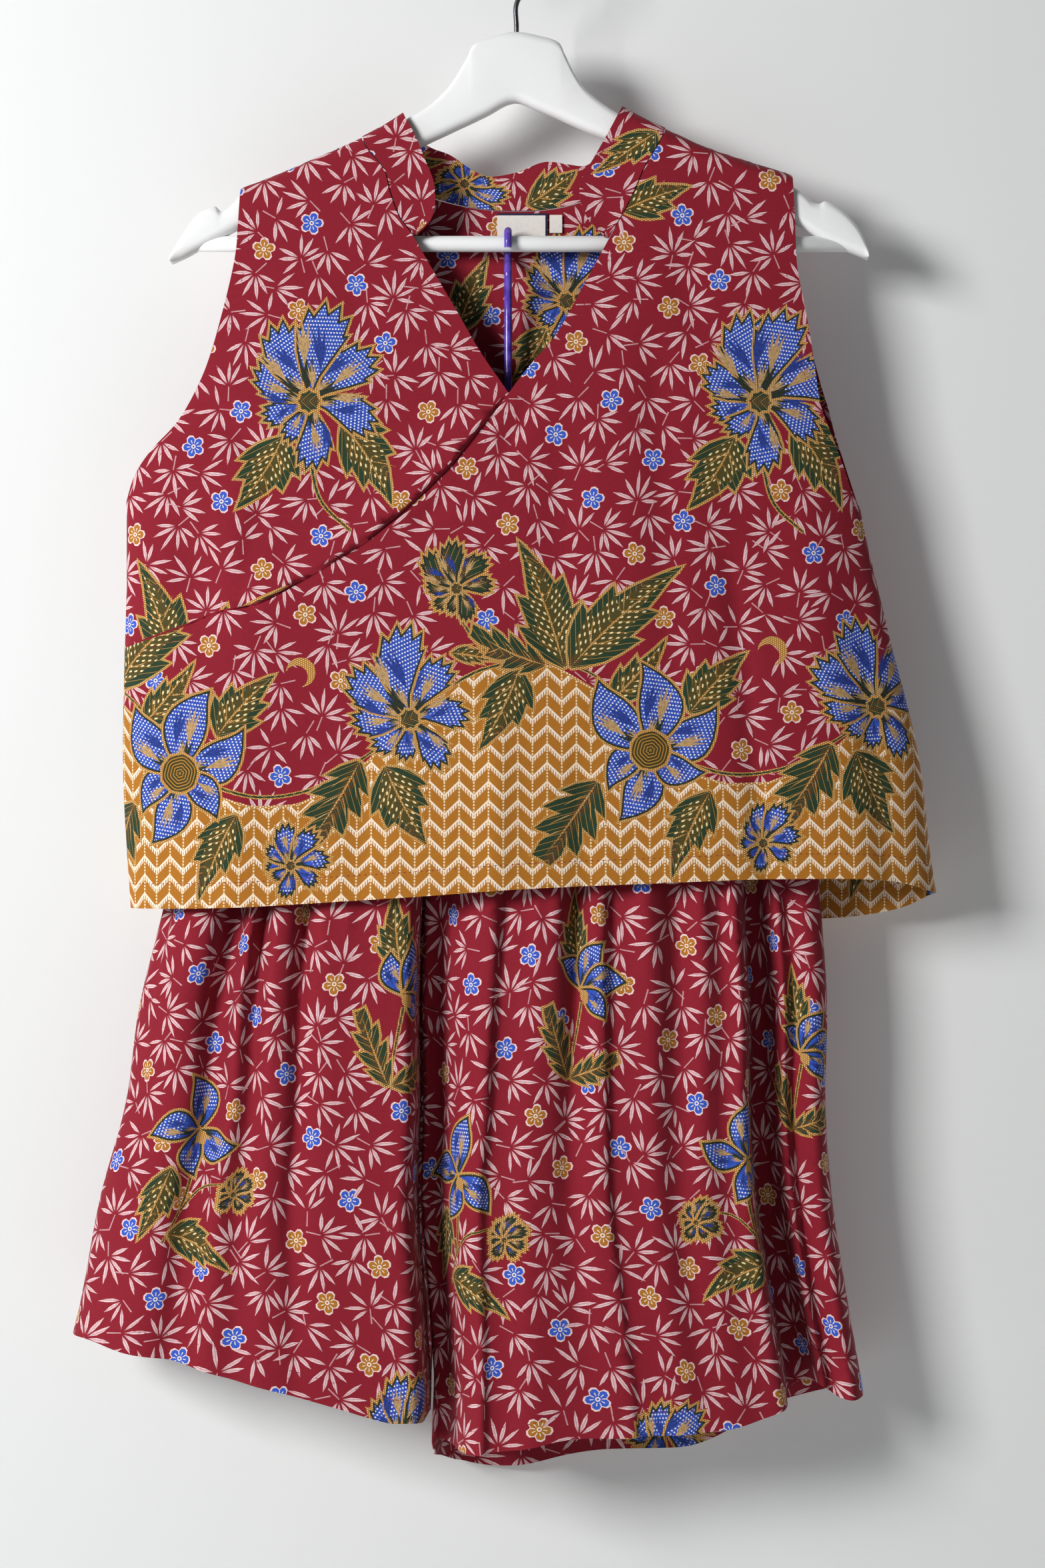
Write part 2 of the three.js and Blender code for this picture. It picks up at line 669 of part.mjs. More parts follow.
// One quarter of the shorts: side seam, folds and centre seam across, waist to hem down.
function shortsQuarter(name, side, hand, folds, seam, hemLine) {
  const ROW_PARTS = [0, 0.07, 0.16, 0.26, 0.36, 0.45, 0.54, 0.65, 0.77, 0.89, 1];
  const SIDE_ROUND = [0, 2.2, 8];
  const knots = (drop) => {
    const ring = shortsRing(drop);
    const edge = hand < 0 ? ring.left : ring.right;
    const sidePoints = SIDE_ROUND.map((inset) => {
      const x = edge - hand * inset;
      const reach = Math.abs(2 * (x - ring.left) / (ring.right - ring.left) - 1);
      const oval = Math.sqrt(Math.max(0, 1 - reach ** ring.square));
      const depth = oval * (side < 0 ? ring.front : ring.back);
      return new THREE.Vector2(x, side * Math.max(depth, SEAM_GAP / 2));
    });
    const foldPoints = folds.map((fold) => {
      const spot = shortsSpot(fold.upperX, fold.hemX, fold.upperIn, fold.hemIn, drop, side);
      return new THREE.Vector2(spot.x, side * spot.depth);
    });
    const middle = shortsSpot(seam.upperX, seam.hemX, seam.inward, seam.inward, drop, side);
    const closing = side < 0
      ? smooth(GATHER_TOP, UPPER_LEVEL, drop)
      : smooth(CROTCH_START, CROTCH_END, drop);
    const pinned = side < 0 ? INSEAM_Y : INSEAM_Y + SEAM_GAP;
    const pitch = mix(SEAM_GAP, CLOTH_WALL + 3 * SEAM_GAP, Math.min(1, closing * 6));
    const seamPoint = new THREE.Vector2(
      middle.x + hand * pitch / 2, mix(side * middle.depth, pinned, closing),
    );
    const line = hand < 0
      ? [...sidePoints, ...foldPoints, seamPoint]
      : [seamPoint, ...foldPoints, ...sidePoints.reverse()];
    return line;
  };
  const count = SIDE_ROUND.length + folds.length + 1;
  const grid = ROW_PARTS.map(() => []);
  for (let k = 0; k <= 2 * (count - 1); k += 1) {
    const hemX = knots(HEM_LEVEL)[Math.round(k / 2)].x;
    const hemDrop = hemLine(hemX).drop;
    ROW_PARTS.forEach((part, j) => {
      const drop = mix(GATHER_TOP, hemDrop, part);
      const curve = new THREE.CatmullRomCurve3(
        knots(drop).map((knot) => new THREE.Vector3(knot.x, knot.y, 0)), false, 'centripetal',
      );
      const spot = curve.getPoint(k / (2 * (count - 1)));
      grid[j].push(new THREE.Vector3(spot.x, spot.y, -drop));
    });
  }
  const seamPlanes = [0, INSEAM_Y + SEAM_GAP / 2];
  return piece(name, wallGeometry(grid, CLOTH_WALL, { seamPlanes }), cotton(0xa5233c));
}

// The elastic waist casing, hidden under the top.
function waistband() {
  const COLUMNS = 44;
  const grid = [WAIST_TOP, (WAIST_TOP + WAIST_BOTTOM) / 2, WAIST_BOTTOM].map((drop) => {
    const ring = shortsRing(drop);
    const centre = (ring.left + ring.right) / 2;
    const half = (ring.right - ring.left) / 2;
    return Array.from({ length: COLUMNS }, (unused, k) => {
      const angle = 2 * Math.PI * k / COLUMNS;
      const across = Math.sin(angle);
      const share = Math.sign(across) * (1 - (1 - Math.abs(across)) ** 1.3);
      const depth = Math.sqrt(Math.max(0, 1 - Math.abs(share) ** ring.square));
      const front = Math.cos(angle) > 0;
      return new THREE.Vector3(
        centre + half * share, (front ? -ring.front : ring.back) * depth, -drop,
      );
    });
  });
  const geometry = wallGeometry(grid, WAISTBAND_WALL, { ring: true, seamPlanes: [] });
  return piece('shorts_waistband', geometry, cotton(0x9a2038));
}

// The wooden hanger

// Its arms' top and lower edges, from the left tip to the right one.
const hangerOutline = table(['x', 'top', 'bottom'], [
  [-213.6, 202.6, 205],
  [-212, 198.4, 205.4],
  [-205, 186.4, 202.8],
  [-196.5, 175.4, 198.2],
  [-189, 171.4, 194.2],
  [-185.4, 171, 192.2],
  [-182.4, 173.8, 190.6],
  [-178.5, 172.2, 188.4],
  [-174.4, 168.2, 186.2],
  [-169.5, 163.4, 183.8],
  [-157.4, 156.6, 178.4],
  [-145.5, 151.7, 173],
  [-131.6, 145.9, 166.7],
  [-117.7, 139.7, 160.4],
  [-104, 133.6, 154.2],
  [-88, 127.6, 147.6],
  [-72, 119, 140],
  [-56, 109.8, 132.4],
  [-43, 98, 126.4],
  [-35.4, 86.6, 122.8],
  [-31, 79, 120.8],
  [-27.6, 72, 119.2],
  [-18, 67.4, 114.6],
  [-2, 63.6, 106.9],
  [12, 65.8, 111.6],
  [25.2, 70.2, 117],
  [29, 77.4, 118.8],
  [34.3, 88.2, 121.2],
  [41, 98, 124.2],
  [57, 111, 130.9],
  [72, 118.4, 137.6],
  [88, 124.6, 144.6],
  [104, 131.4, 151.6],
  [117, 136.4, 157.3],
  [132, 141.6, 163.9],
  [143, 146.4, 168.7],
  [155, 151.6, 174],
  [168, 158, 179.8],
  [176.1, 163.8, 184.6],
  [180.1, 167.6, 187.2],
  [185.2, 169.2, 190.2],
  [188.7, 167.6, 192],
  [198.5, 172.8, 196.6],
  [207.1, 181.4, 200],
  [212, 189.5, 202],
  [215.3, 199.8, 202.8],
]);

function hangerBody() {
  const ROUND_STEPS = 2;
  const sections = hangerOutline.map(({ x, top, bottom }) => {
    const height = bottom - top;
    const halfDepth = HANGER_THICKNESS / 2;
    const round = Math.min(HANGER_EDGE_ROUND, height / 2 - 0.2);
    const corners = [
      [halfDepth - round, top + round, 0],
      [-halfDepth + round, top + round, 1],
      [-halfDepth + round, bottom - round, 2],
      [halfDepth - round, bottom - round, 3],
    ];
    return corners.flatMap(([y, drop, quarter]) => Array.from(
      { length: ROUND_STEPS + 1 },
      (unused, k) => {
        const angle = (quarter + k / ROUND_STEPS) * Math.PI / 2;
        return new THREE.Vector3(
          x, y + round * Math.cos(angle), -drop + round * Math.sin(angle),
        );
      },
    ));
  });
  const around = sections[0].length;
  const positions = sections.flat().flatMap((point) => point.toArray());
  const index = [];
  for (let j = 0; j < sections.length - 1; j += 1) {
    for (let i = 0; i < around; i += 1) {
      const [a, b] = [j * around + i, j * around + ((i + 1) % around)];
      index.push(a, b, b + around, a, b + around, a + around);
    }
  }
  const end = (sections.length - 1) * around;
  for (let i = 1; i < around - 1; i += 1) {
    index.push(0, i + 1, i, end, end + i, end + i + 1);
  }
  const body = new THREE.BufferGeometry();
  body.setAttribute('position', new THREE.Float32BufferAttribute(positions, 3));
  body.setIndex(index);
  const barHole = barGeometry(BAR_LEFT - SEAM_GAP, BAR_RIGHT + SEAM_GAP, SEAM_GAP);
  const holeRadius = HOOK_WIRE / 2 + SEAM_GAP;
  const holeTop = HOOK_SHANK_TOP;
  const holeBottom = HOOK_SHANK_BOTTOM + SEAM_GAP;
  const hookHole = new THREE.CylinderGeometry(holeRadius, holeRadius, holeBottom - holeTop, 12);
  hookHole.rotateX(Math.PI / 2);
  hookHole.translate(HOOK_SHANK_X, 0, -(holeTop + holeBottom) / 2);
  const solid = toSolid(facingOut(body)).subtract(toSolid(barHole)).subtract(toSolid(hookHole));
  const paint = new THREE.MeshStandardMaterial({ color: 0xf2f2f2, roughness: 0.45 });
  return piece('hanger_body', fromSolid(solid), paint);
}

function barGeometry(left, right, grow) {
  const radius = BAR_DIAMETER / 2 + grow;
  const bar = new THREE.CylinderGeometry(radius, radius, right - left, 24);
  bar.rotateZ(Math.PI / 2);
  bar.translate((left + right) / 2, 0, -BAR_DROP);
  return bar;
}

function hangerBar() {
  const paint = new THREE.MeshStandardMaterial({ color: 0xf2f2f2, roughness: 0.45 });
  return piece('hanger_bar', barGeometry(BAR_LEFT, BAR_RIGHT, 0), paint);
}

// The metal hook: a straight shank, a swing to the right and a round crook over the origin.
function hangerHook() {
  const centreDrop = HOOK_RADIUS - HOOK_WIRE / 2;
  const crook = [-35, -15, 10, 35, 62, 90, 118, 145, 172, 198].map((degrees) => {
    const angle = THREE.MathUtils.degToRad(degrees);
    return new THREE.Vector3(
      HOOK_RADIUS * Math.cos(angle), 0, -centreDrop + HOOK_RADIUS * Math.sin(angle),
    );
  });
  const points = [
    new THREE.Vector3(HOOK_SHANK_X, 0, -HOOK_SHANK_BOTTOM),
    new THREE.Vector3(HOOK_SHANK_X, 0, -60),
    new THREE.Vector3(HOOK_SHANK_X, 0, -HOOK_SHANK_TOP),
    new THREE.Vector3(5.5, 0, -36.5),
    ...crook,
  ];
  const steel = new THREE.MeshStandardMaterial({ color: 0x5a5a5c, roughness: 0.35, metalness: 1 });
  return piece('hanger_hook', wireGeometry(points, HOOK_WIRE, 30), steel);
}

// The coated wire hanger: a crook over the bar in the plane across it, a long shank, and a
// flat triangle whose lower corners hold the waistband out from inside.
function innerHanger() {
  const crookTop = BAR_DROP - BAR_DIAMETER / 2 - WIRE_SEAT_GAP - WIRE / 2;
  const crookDrop = crookTop + WIRE_HOOK_RADIUS;
  const crook = [-25, 5, 35, 62, 90, 118, 145, 172, 200].map((degrees) => {
    const angle = THREE.MathUtils.degToRad(degrees);
    return new THREE.Vector3(
      WIRE_X, WIRE_HOOK_RADIUS * Math.cos(angle), -crookDrop + WIRE_HOOK_RADIUS * Math.sin(angle),
    );
  });
  const shank = [
    new THREE.Vector3(WIRE_X, -7.5, -(crookDrop + 18)),
    new THREE.Vector3(WIRE_X, -2, -(crookDrop + 32)),
    new THREE.Vector3(WIRE_X, 0, -(crookDrop + 46)),
    new THREE.Vector3(WIRE_X, 0, -WIRE_NECK_DROP),
  ];
  const ring = shortsRing(WIRE_BASE_DROP);
  const inset = WAISTBAND_WALL / 2 + SEAM_GAP + WIRE / 2;
  const left = ring.left + inset;
  const right = ring.right - inset;
  const corner = (x, inwards) => [
    new THREE.Vector3(x + inwards * 22, 0, -(WIRE_CORNER_DROP + 1)),
    new THREE.Vector3(x + inwards * 6, 0, -(WIRE_CORNER_DROP + 14)),
    new THREE.Vector3(x, 0, -(WIRE_CORNER_DROP + 30)),
    new THREE.Vector3(x, 0, -(WIRE_BASE_DROP - 10)),
    new THREE.Vector3(x + inwards * 3, 0, -(WIRE_BASE_DROP - 3)),
    new THREE.Vector3(x + inwards * 12, 0, -WIRE_BASE_DROP),
  ];
  const loop = [
    new THREE.Vector3(WIRE_X, 0, -WIRE_NECK_DROP),
    new THREE.Vector3(WIRE_X + 14, 0, -(WIRE_NECK_DROP + 5)),
    ...corner(right, -1),
    ...corner(left, 1).reverse(),
    new THREE.Vector3(WIRE_X - 14, 0, -(WIRE_NECK_DROP + 5)),
  ];
  const solid = toSolid(wireGeometry([...crook.reverse(), ...shank], WIRE_SHANK, 24))
    .add(toSolid(wireGeometry(loop, WIRE, 48, true)));
  const coat = new THREE.MeshStandardMaterial({ color: 0x5a3cb4, roughness: 0.25 });
  return piece('inner_hanger', fromSolid(solid), coat);
}

const samfu = new THREE.Group();
samfu.add(
  overFront(),
  underFront(),
  topBack(),
  collar(),
  neckLabel('neck_label', -12.8, 18.5, 172.6, 187),
  neckLabel('size_tab', 19.6, 27.4, 173.6, 184.6),
  waistband(),
  shortsQuarter('shorts_front_left', -1, -1, frontLeftFolds, FRONT_SEAM, frontHemLine),
  shortsQuarter('shorts_front_right', -1, 1, frontRightFolds, FRONT_SEAM, frontHemLine),
  shortsQuarter('shorts_back_left', 1, -1, backLeftFolds, BACK_SEAM, backHemLine),
  shortsQuarter('shorts_back_right', 1, 1, backRightFolds, BACK_SEAM, backHemLine),
  hangerBody(),
  hangerBar(),
  hangerHook(),
  innerHanger(),
);

export default samfu;
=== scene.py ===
import math
import random

import bpy
import numpy as np
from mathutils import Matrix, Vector
from mathutils.geometry import delaunay_2d_cdt


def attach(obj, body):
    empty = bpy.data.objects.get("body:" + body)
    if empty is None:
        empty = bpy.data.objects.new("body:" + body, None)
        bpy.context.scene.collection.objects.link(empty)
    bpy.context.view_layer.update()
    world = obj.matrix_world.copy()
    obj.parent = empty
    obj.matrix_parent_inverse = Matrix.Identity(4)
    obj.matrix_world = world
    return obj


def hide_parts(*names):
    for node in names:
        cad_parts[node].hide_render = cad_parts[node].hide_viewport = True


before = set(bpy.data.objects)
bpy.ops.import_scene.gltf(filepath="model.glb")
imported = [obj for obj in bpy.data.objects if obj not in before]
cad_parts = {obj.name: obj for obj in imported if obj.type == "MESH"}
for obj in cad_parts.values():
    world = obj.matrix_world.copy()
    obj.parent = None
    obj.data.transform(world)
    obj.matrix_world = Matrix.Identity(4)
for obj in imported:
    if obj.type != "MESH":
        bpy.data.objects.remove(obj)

bl_info = {
    "name": "Crossover Top and Gathered Shorts",
    "version": (1, 0, 0),
    "blender": (4, 5, 0),
    "location": "View3D > Sidebar > Samfu",
    "description": "Dresses the packed samfu in printed cotton, with its two hangers and a stage",
    "category": "Object",
}

# Lengths in the tables are millimetres, as in the part's source. A drop is a distance below
# the origin, which is the inside top of the metal hook.
MM = 0.001
SEAM_GAP = 0.3
LAYER_LIFT = 1.9
SHOULDER_ROLL = 9
GATHER_TOP = 456
UPPER_LEVEL = 595
HEM_LEVEL = 890
WAIST_TOP = 425
WAIST_BOTTOM = 455.7
CROTCH_START = 600
CROTCH_END = 690
INSEAM_Y = 2
REPEAT = 286
ROW_STEP = 4.0


def smooth(start, end, value):
    t = np.clip((value - start) / (end - start), 0, 1)
    return t * t * (3 - 2 * t)


def mix(a, b, t):
    return a + (b - a) * t


def hermite(a, slope_a, b, slope_b, t):
    """The smooth curve from a to b that has the given slopes at its ends."""
    return (
        a * (2 * t**3 - 3 * t**2 + 1) + slope_a * (t**3 - 2 * t**2 + t)
        + b * (3 * t**2 - 2 * t**3) + slope_b * (t**3 - t**2)
    )


def profile(rows):
    """A smooth function through rows, keyed by the first column. It gives the other columns."""
    data = np.array(rows, float)
    key, values = data[:, 0], data[:, 1:]
    last = len(key) - 2

    def at(where):
        where = np.asarray(where, float)
        k = np.clip(np.searchsorted(key, where, side="right") - 1, 0, last)
        before, after = np.maximum(k - 1, 0), np.minimum(k + 2, last + 1)
        span = key[k + 1] - key[k]
        t = np.clip((where - key[k]) / span, 0, 1)[..., None]
        a, b = values[k], values[k + 1]
        slope_a = (b - values[before]) * (span / (key[k + 1] - key[before]))[..., None]
        slope_b = (values[after] - a) * (span / (key[after] - key[k]))[..., None]
        return np.moveaxis(hermite(a, slope_a, b, slope_b, t), -1, 0)

    return at


def smooth_line(points, spots):
    """Points on a centripetal Catmull-Rom line at spots, which count the given points from 0.

    The points' second last axis counts them, so many lines can be done at once."""
    points = np.asarray(points, float)
    count = points.shape[-2]
    padded = np.concatenate([
        2 * points[..., :1, :] - points[..., 1:2, :], points,
        2 * points[..., -1:, :] - points[..., -2:-1, :],
    ], axis=-2)
    spots = np.asarray(spots, float)
    k = np.clip(np.floor(spots).astype(int), 0, count - 2)
    w = (spots - k)[:, None]
    p0, p1, p2, p3 = (padded[..., k + step, :] for step in range(4))

    def pace(a, b):
        length = np.sqrt(np.sum((b - a) ** 2, axis=-1, keepdims=True))
        return np.maximum(np.sqrt(length), 1e-4)

    d0, d1, d2 = pace(p0, p1), pace(p1, p2), pace(p2, p3)
    t1 = ((p1 - p0) / d0 - (p2 - p0) / (d0 + d1) + (p2 - p1) / d1) * d1
    t2 = ((p2 - p1) / d1 - (p3 - p1) / (d1 + d2) + (p3 - p2) / d2) * d1
    return hermite(p1, t1, p2, t2, w)


def run_along(points):
    """The distance from the first point to each point of a line."""
    steps = np.sqrt(np.sum(np.diff(points, axis=0) ** 2, axis=1))
    return np.concatenate([[0], np.cumsum(steps)])


def along(points, step):
    """Points every step or so along a smooth line through the given ones."""
    points = np.array(points, float)
    fine = smooth_line(points, np.linspace(0, len(points) - 1, 12 * (len(points) - 1) + 1))
    length = run_along(fine)
    count = max(2, int(length[-1] / step) + 1)
    even = np.linspace(0, length[-1], count)
    return np.column_stack([np.interp(even, length, fine[:, c]) for c in range(2)])


# The top's shape

top_ring = profile([
    # drop, left, right, front, back
    [90, -215, 215, 10.8, 10.8],
    [160, -215, 215, 11, 11],
    [205, -215, 215, 12, 13],
    [240, -206, 207, 15, 14.5],
    [262, -204, 202, 17, 15],
    [285, -209, 201.5, 19, 16],
    [305, -218, 203.5, 20.5, 17],
    [325, -233, 206, 22, 18],
    [342, -239.5, 208.5, 23, 19],
    [362, -240.3, 211.2, 24, 20],
    [400, -240.3, 220, 27, 22],
    [442, -241.4, 230, 31, 25],
    [484, -242.4, 241, 34, 28],
    [520, -242.4, 248, 37, 31],
    [566, -240.2, 253, 40, 34],
    [612, -236.5, 260, 43, 37],
])
ridge = profile([
    # x, drop
    [-240, 190], [-169.7, 160], [-145.5, 150.4], [-117.7, 138.4], [-95.9, 128.6], [-70.3, 113.8],
    [-30, 62], [25, 60], [64.4, 110], [91, 123.4], [116.8, 134.9], [142.7, 143.6], [168.1, 151.8],
    [240, 180],
])
COLLAR_STATIONS = [
    # side, seam x, seam drop, free x, free drop
    [-1, -63.9, 191, -61.2, 189.2],
    [-1, -66.2, 188, -54.6, 183.5],
    [-1, -69, 184.4, -51.2, 176.5],
    [-1, -72, 180.5, -50.4, 168],
    [-1, -78.2, 164.3, -51.6, 157],
    [-1, -81.5, 151.3, -56.4, 145],
    [-1, -86, 144.8, -61, 133.4],
    [-1, -92.1, 137.8, -66.6, 121.8],
    [-1, -94.8, 132.6, -69.2, 117.4],
    [-1, -95.6, 129.7, -70, 114.9],
    [0, -95.9, 128.6, -70.3, 113.8],
    [1, -95.4, 129.8, -69.8, 114.9],
    [1, -93.9, 132.8, -68.4, 118],
    [1, -88, 140.6, -63.2, 125.6],
    [1, -78, 150, -53.6, 132],
    [1, -60, 160.6, -42, 136.4],
    [1, -40, 167, -30.5, 144.2],
    [1, -20, 170.4, -19.4, 149.6],
    [1, 0, 171.4, -1, 147.2],
    [1, 20, 170.2, 16.9, 140.6],
    [1, 40, 165.4, 31, 142.2],
    [1, 60, 155.6, 42.4, 143],
    [1, 76, 142.6, 51, 134.6],
    [1, 86.4, 130.6, 59.4, 119.8],
    [1, 89.6, 126, 62.8, 113.4],
    [1, 90.6, 124.4, 63.9, 111.2],
    [0, 91, 123.4, 64.4, 110],
    [-1, 90.8, 124.5, 63.9, 111.2],
    [-1, 90, 127.4, 62.2, 114.6],
    [-1, 86, 135, 55.4, 127.4],
    [-1, 78.7, 147.2, 45.6, 144.6],
    [-1, 71.7, 163.1, 38.4, 157.2],
    [-1, 66.4, 174.2, 38.6, 171.4],
    [-1, 62.4, 181.2, 43, 180.4],
    [-1, 59, 187.2, 49, 187.2],
    [-1, 55.9, 192.6, 53.2, 191.2],
]
LEFT_SHOULDER_POINT = 10
RIGHT_SHOULDER_POINT = 26
NECK = [station[1:3] for station in COLLAR_STATIONS]
LEFT_NECK = NECK[LEFT_SHOULDER_POINT::-1]
BACK_NECK = NECK[LEFT_SHOULDER_POINT:RIGHT_SHOULDER_POINT + 1]
RIGHT_NECK = NECK[:RIGHT_SHOULDER_POINT - 1:-1]

LEFT_TIP = [-169.7, 160]
RIGHT_TIP = [168.1, 151.8]
LEFT_SHOULDER = [LEFT_TIP, [-145.5, 150.4], [-117.7, 138.4], LEFT_NECK[0]]
RIGHT_SHOULDER = [RIGHT_NECK[-1], [116.8, 134.9], [142.7, 143.6], RIGHT_TIP]
LEFT_ARMHOLE = [
    LEFT_TIP, [-171.2, 183], [-172.6, 201], [-177.4, 224.5], [-181.4, 240], [-186.6, 258.5],
    [-193.8, 278.4], [-207.6, 303.4], [-224.8, 322.2], [-234.2, 336], [-240, 352],
]
RIGHT_FRONT_ARMHOLE = [
    RIGHT_TIP, [169.6, 183], [170.9, 210], [174.6, 230], [178.3, 250], [181.6, 272],
    [185.4, 296], [191.8, 312.5], [199.2, 332], [204.5, 347], [210.4, 358],
]
RIGHT_BACK_ARMHOLE = [
    RIGHT_TIP, [169.6, 183], [172.6, 214], [179.2, 246.5], [187.4, 279.3], [191.6, 293],
    [195.6, 309.2], [200.5, 325], [205.4, 341], [210.4, 358],
]
LEFT_SIDE = [[-240, 352], [-240.3, 400], [-241.4, 442], [-242.4, 484], [-242.4, 520],
             [-240.2, 566], [-236.6, 601.6]]
RIGHT_SIDE = [[210.4, 358], [219.8, 399], [230, 442], [241, 484], [248, 520], [253, 566],
              [257.4, 592.4]]
WRAP_EDGE = [
    [-239.6, 442.4], [-204.8, 431.4], [-182.2, 422.6], [-155, 416.6], [-122.2, 398.2],
    [-90.7, 378.7], [-64.3, 357.3], [-39.2, 332.6], [-17.8, 305.1], [-5.6, 288.5],
    [8.9, 269.4], [22.3, 254], [40, 222], RIGHT_NECK[0],
]
UNDER_EDGE = [
    LEFT_NECK[-1], [-52.8, 210.5], [-35, 241.4], [-23.2, 262.2], [-6.1, 287.4], [24, 330],
    [52, 362],
]
FRONT_HEM = [
    [-236.6, 601.6], [-170.4, 600], [-103.2, 596], [-58, 593], [-3.5, 589], [80.5, 585.4],
    [153.8, 583], [226.6, 584.6], [257.4, 592.4],
]
UNDER_HEM = [[-236.6, 599.6], [-170.4, 598], [-103.2, 594], [-58, 591], [-3.5, 587],
             [52, 584.5]]
BACK_HEM = [
    [-236.6, 601.6], [-170, 608], [-60, 611], [60, 611], [150, 611], [209.2, 608.4],
    [240.5, 602], [257.4, 592.4],
]
# A fold fades in over FOLD_FADE, and out again when it ends above HEM_FOLDS_END.
FOLD_FADE = 60
HEM_FOLDS_END = 600
TOP_FOLDS = [
    # side, x, lean, from, to, width, depth
    [-1, -203, 6, 330, 470, 15, 3.6],
    [-1, -174, 10, 300, 480, 18, -2],
    [-1, -120, -12, 430, 620, 34, 2.5],
    [-1, -30, 10, 400, 620, 40, -2.5],
    [-1, 60, 8, 420, 620, 30, 2.5],
    [-1, 130, 30, 300, 620, 26, 2.6],
    [-1, 172, 44, 300, 620, 18, -3],
    [-1, 196, 40, 380, 620, 12, 3.5],
    [1, -190, 10, 300, 620, 18, 3],
    [1, -110, 6, 260, 620, 34, -2.5],
    [1, -20, -8, 240, 620, 30, 3],
    [1, 70, 12, 260, 620, 34, -2.5],
    [1, 165, 40, 300, 620, 22, 3],
]
CREASE_DEPTH = 1.9
# Finer creases, each a soft trough or ridge along a line, in shares of that depth.
TOP_CREASES = [
    # side, x, drop, to x, to drop, width, depth
    [-1, -196, 292, -150, 330, 9, 1.2],
    [-1, -186, 262, -120, 290, 11, 0.9],
    [-1, -171, 411, -160, 421, 4, 1.5],
    [-1, -214, 405, -180, 398, 6, 1.0],
    [-1, -150, 330, -168, 410, 8, 1.0],
    [-1, -40, 352, -66, 372, 5, 0.9],
    [-1, 10, 290, -12, 330, 7, 0.8],
    [-1, 30, 300, 22, 470, 14, 0.9],
    [-1, 84, 250, 96, 560, 12, 1.0],
    [-1, 128, 380, 152, 600, 8, 1.4],
    [-1, 190, 330, 150, 372, 9, 1.1],
    [-1, 176, 268, 130, 300, 11, 0.9],
    [-1, 206, 400, 226, 600, 6, 1.4],
    [-1, -205, 470, -212, 600, 8, 1.2],
    [-1, -165, 480, -172, 606, 9, -1.0],
    [-1, -88, 470, -96, 606, 10, 1.0],
    [-1, -12, 480, -14, 600, 9, -1.0],
    [-1, 38, 500, 40, 606, 8, 0.9],
    [-1, -100, 215, -92, 260, 12, 0.8],
    [-1, 100, 190, 108, 260, 12, 0.8],
    [1, -150, 240, -160, 600, 10, 1.3],
    [1, -60, 320, -64, 610, 12, -1.1],
    [1, 20, 280, 26, 610, 10, 1.1],
    [1, 110, 300, 124, 610, 11, -1.1],
    [1, 190, 360, 214, 600, 7, 1.5],
    [1, -206, 380, -212, 600, 8, 1.4],
    [1, -180, 300, -120, 330, 12, 0.9],
    [1, 180, 300, 120, 340, 12, 0.9],
]


def crease_depth(x, drop, side):
    """How far the finer creases push the cloth inwards."""
    depth = 0
    for row_side, x0, drop0, x1, drop1, width, height in TOP_CREASES:
        if row_side == side:
            line = np.array([x1 - x0, drop1 - drop0], float)
            length = np.hypot(*line)
            line /= length
            run = (x - x0) * line[0] + (drop - drop0) * line[1]
            off = (x - x0) * line[1] - (drop - drop0) * line[0]
            fade = min(length * 0.4, 40)
            ends = smooth(-fade * 0.5, fade, run) * smooth(-fade * 0.5, fade, length - run)
            depth = depth + CREASE_DEPTH * height * np.exp(-((off / width) ** 2)) * ends
    return depth


def top_depth(x, drop, side):
    """How far the top's cloth lies in front of or behind the hanger's middle plane."""
    left, right, front, back = top_ring(drop)
    reach = np.minimum(1, np.abs(x - (left + right) / 2) / ((right - left) / 2))
    round_off = np.sqrt(1 - reach**4)
    under = np.maximum(0, 1 - (drop - ridge(x)[0]) / SHOULDER_ROLL)
    roll = np.sqrt(np.maximum(0, 1 - under * under))
    folds = crease_depth(x, drop, side)
    for row_side, fold_x, lean, start, end, width, depth in TOP_FOLDS:
        if row_side == side:
            run = np.clip((drop - start) / (end - start), 0, 1)
            fade = smooth(start, start + FOLD_FADE, drop)
            if end <= HEM_FOLDS_END:
                fade = fade * (1 - smooth(end - FOLD_FADE, end, drop))
            across = (x - fold_x - lean * run) / width
            folds = folds + depth * np.exp(-across * across) * fade
    full = front if side < 0 else back
    return roll * round_off * (full - folds * round_off)


def row_of(drops, drop):
    """A table's row just above each drop, and the share of the next one."""
    place = np.clip((drop - drops[0]) / ROW_STEP, 0, len(drops) - 1.001)
    row = place.astype(int)
    return row, place - row


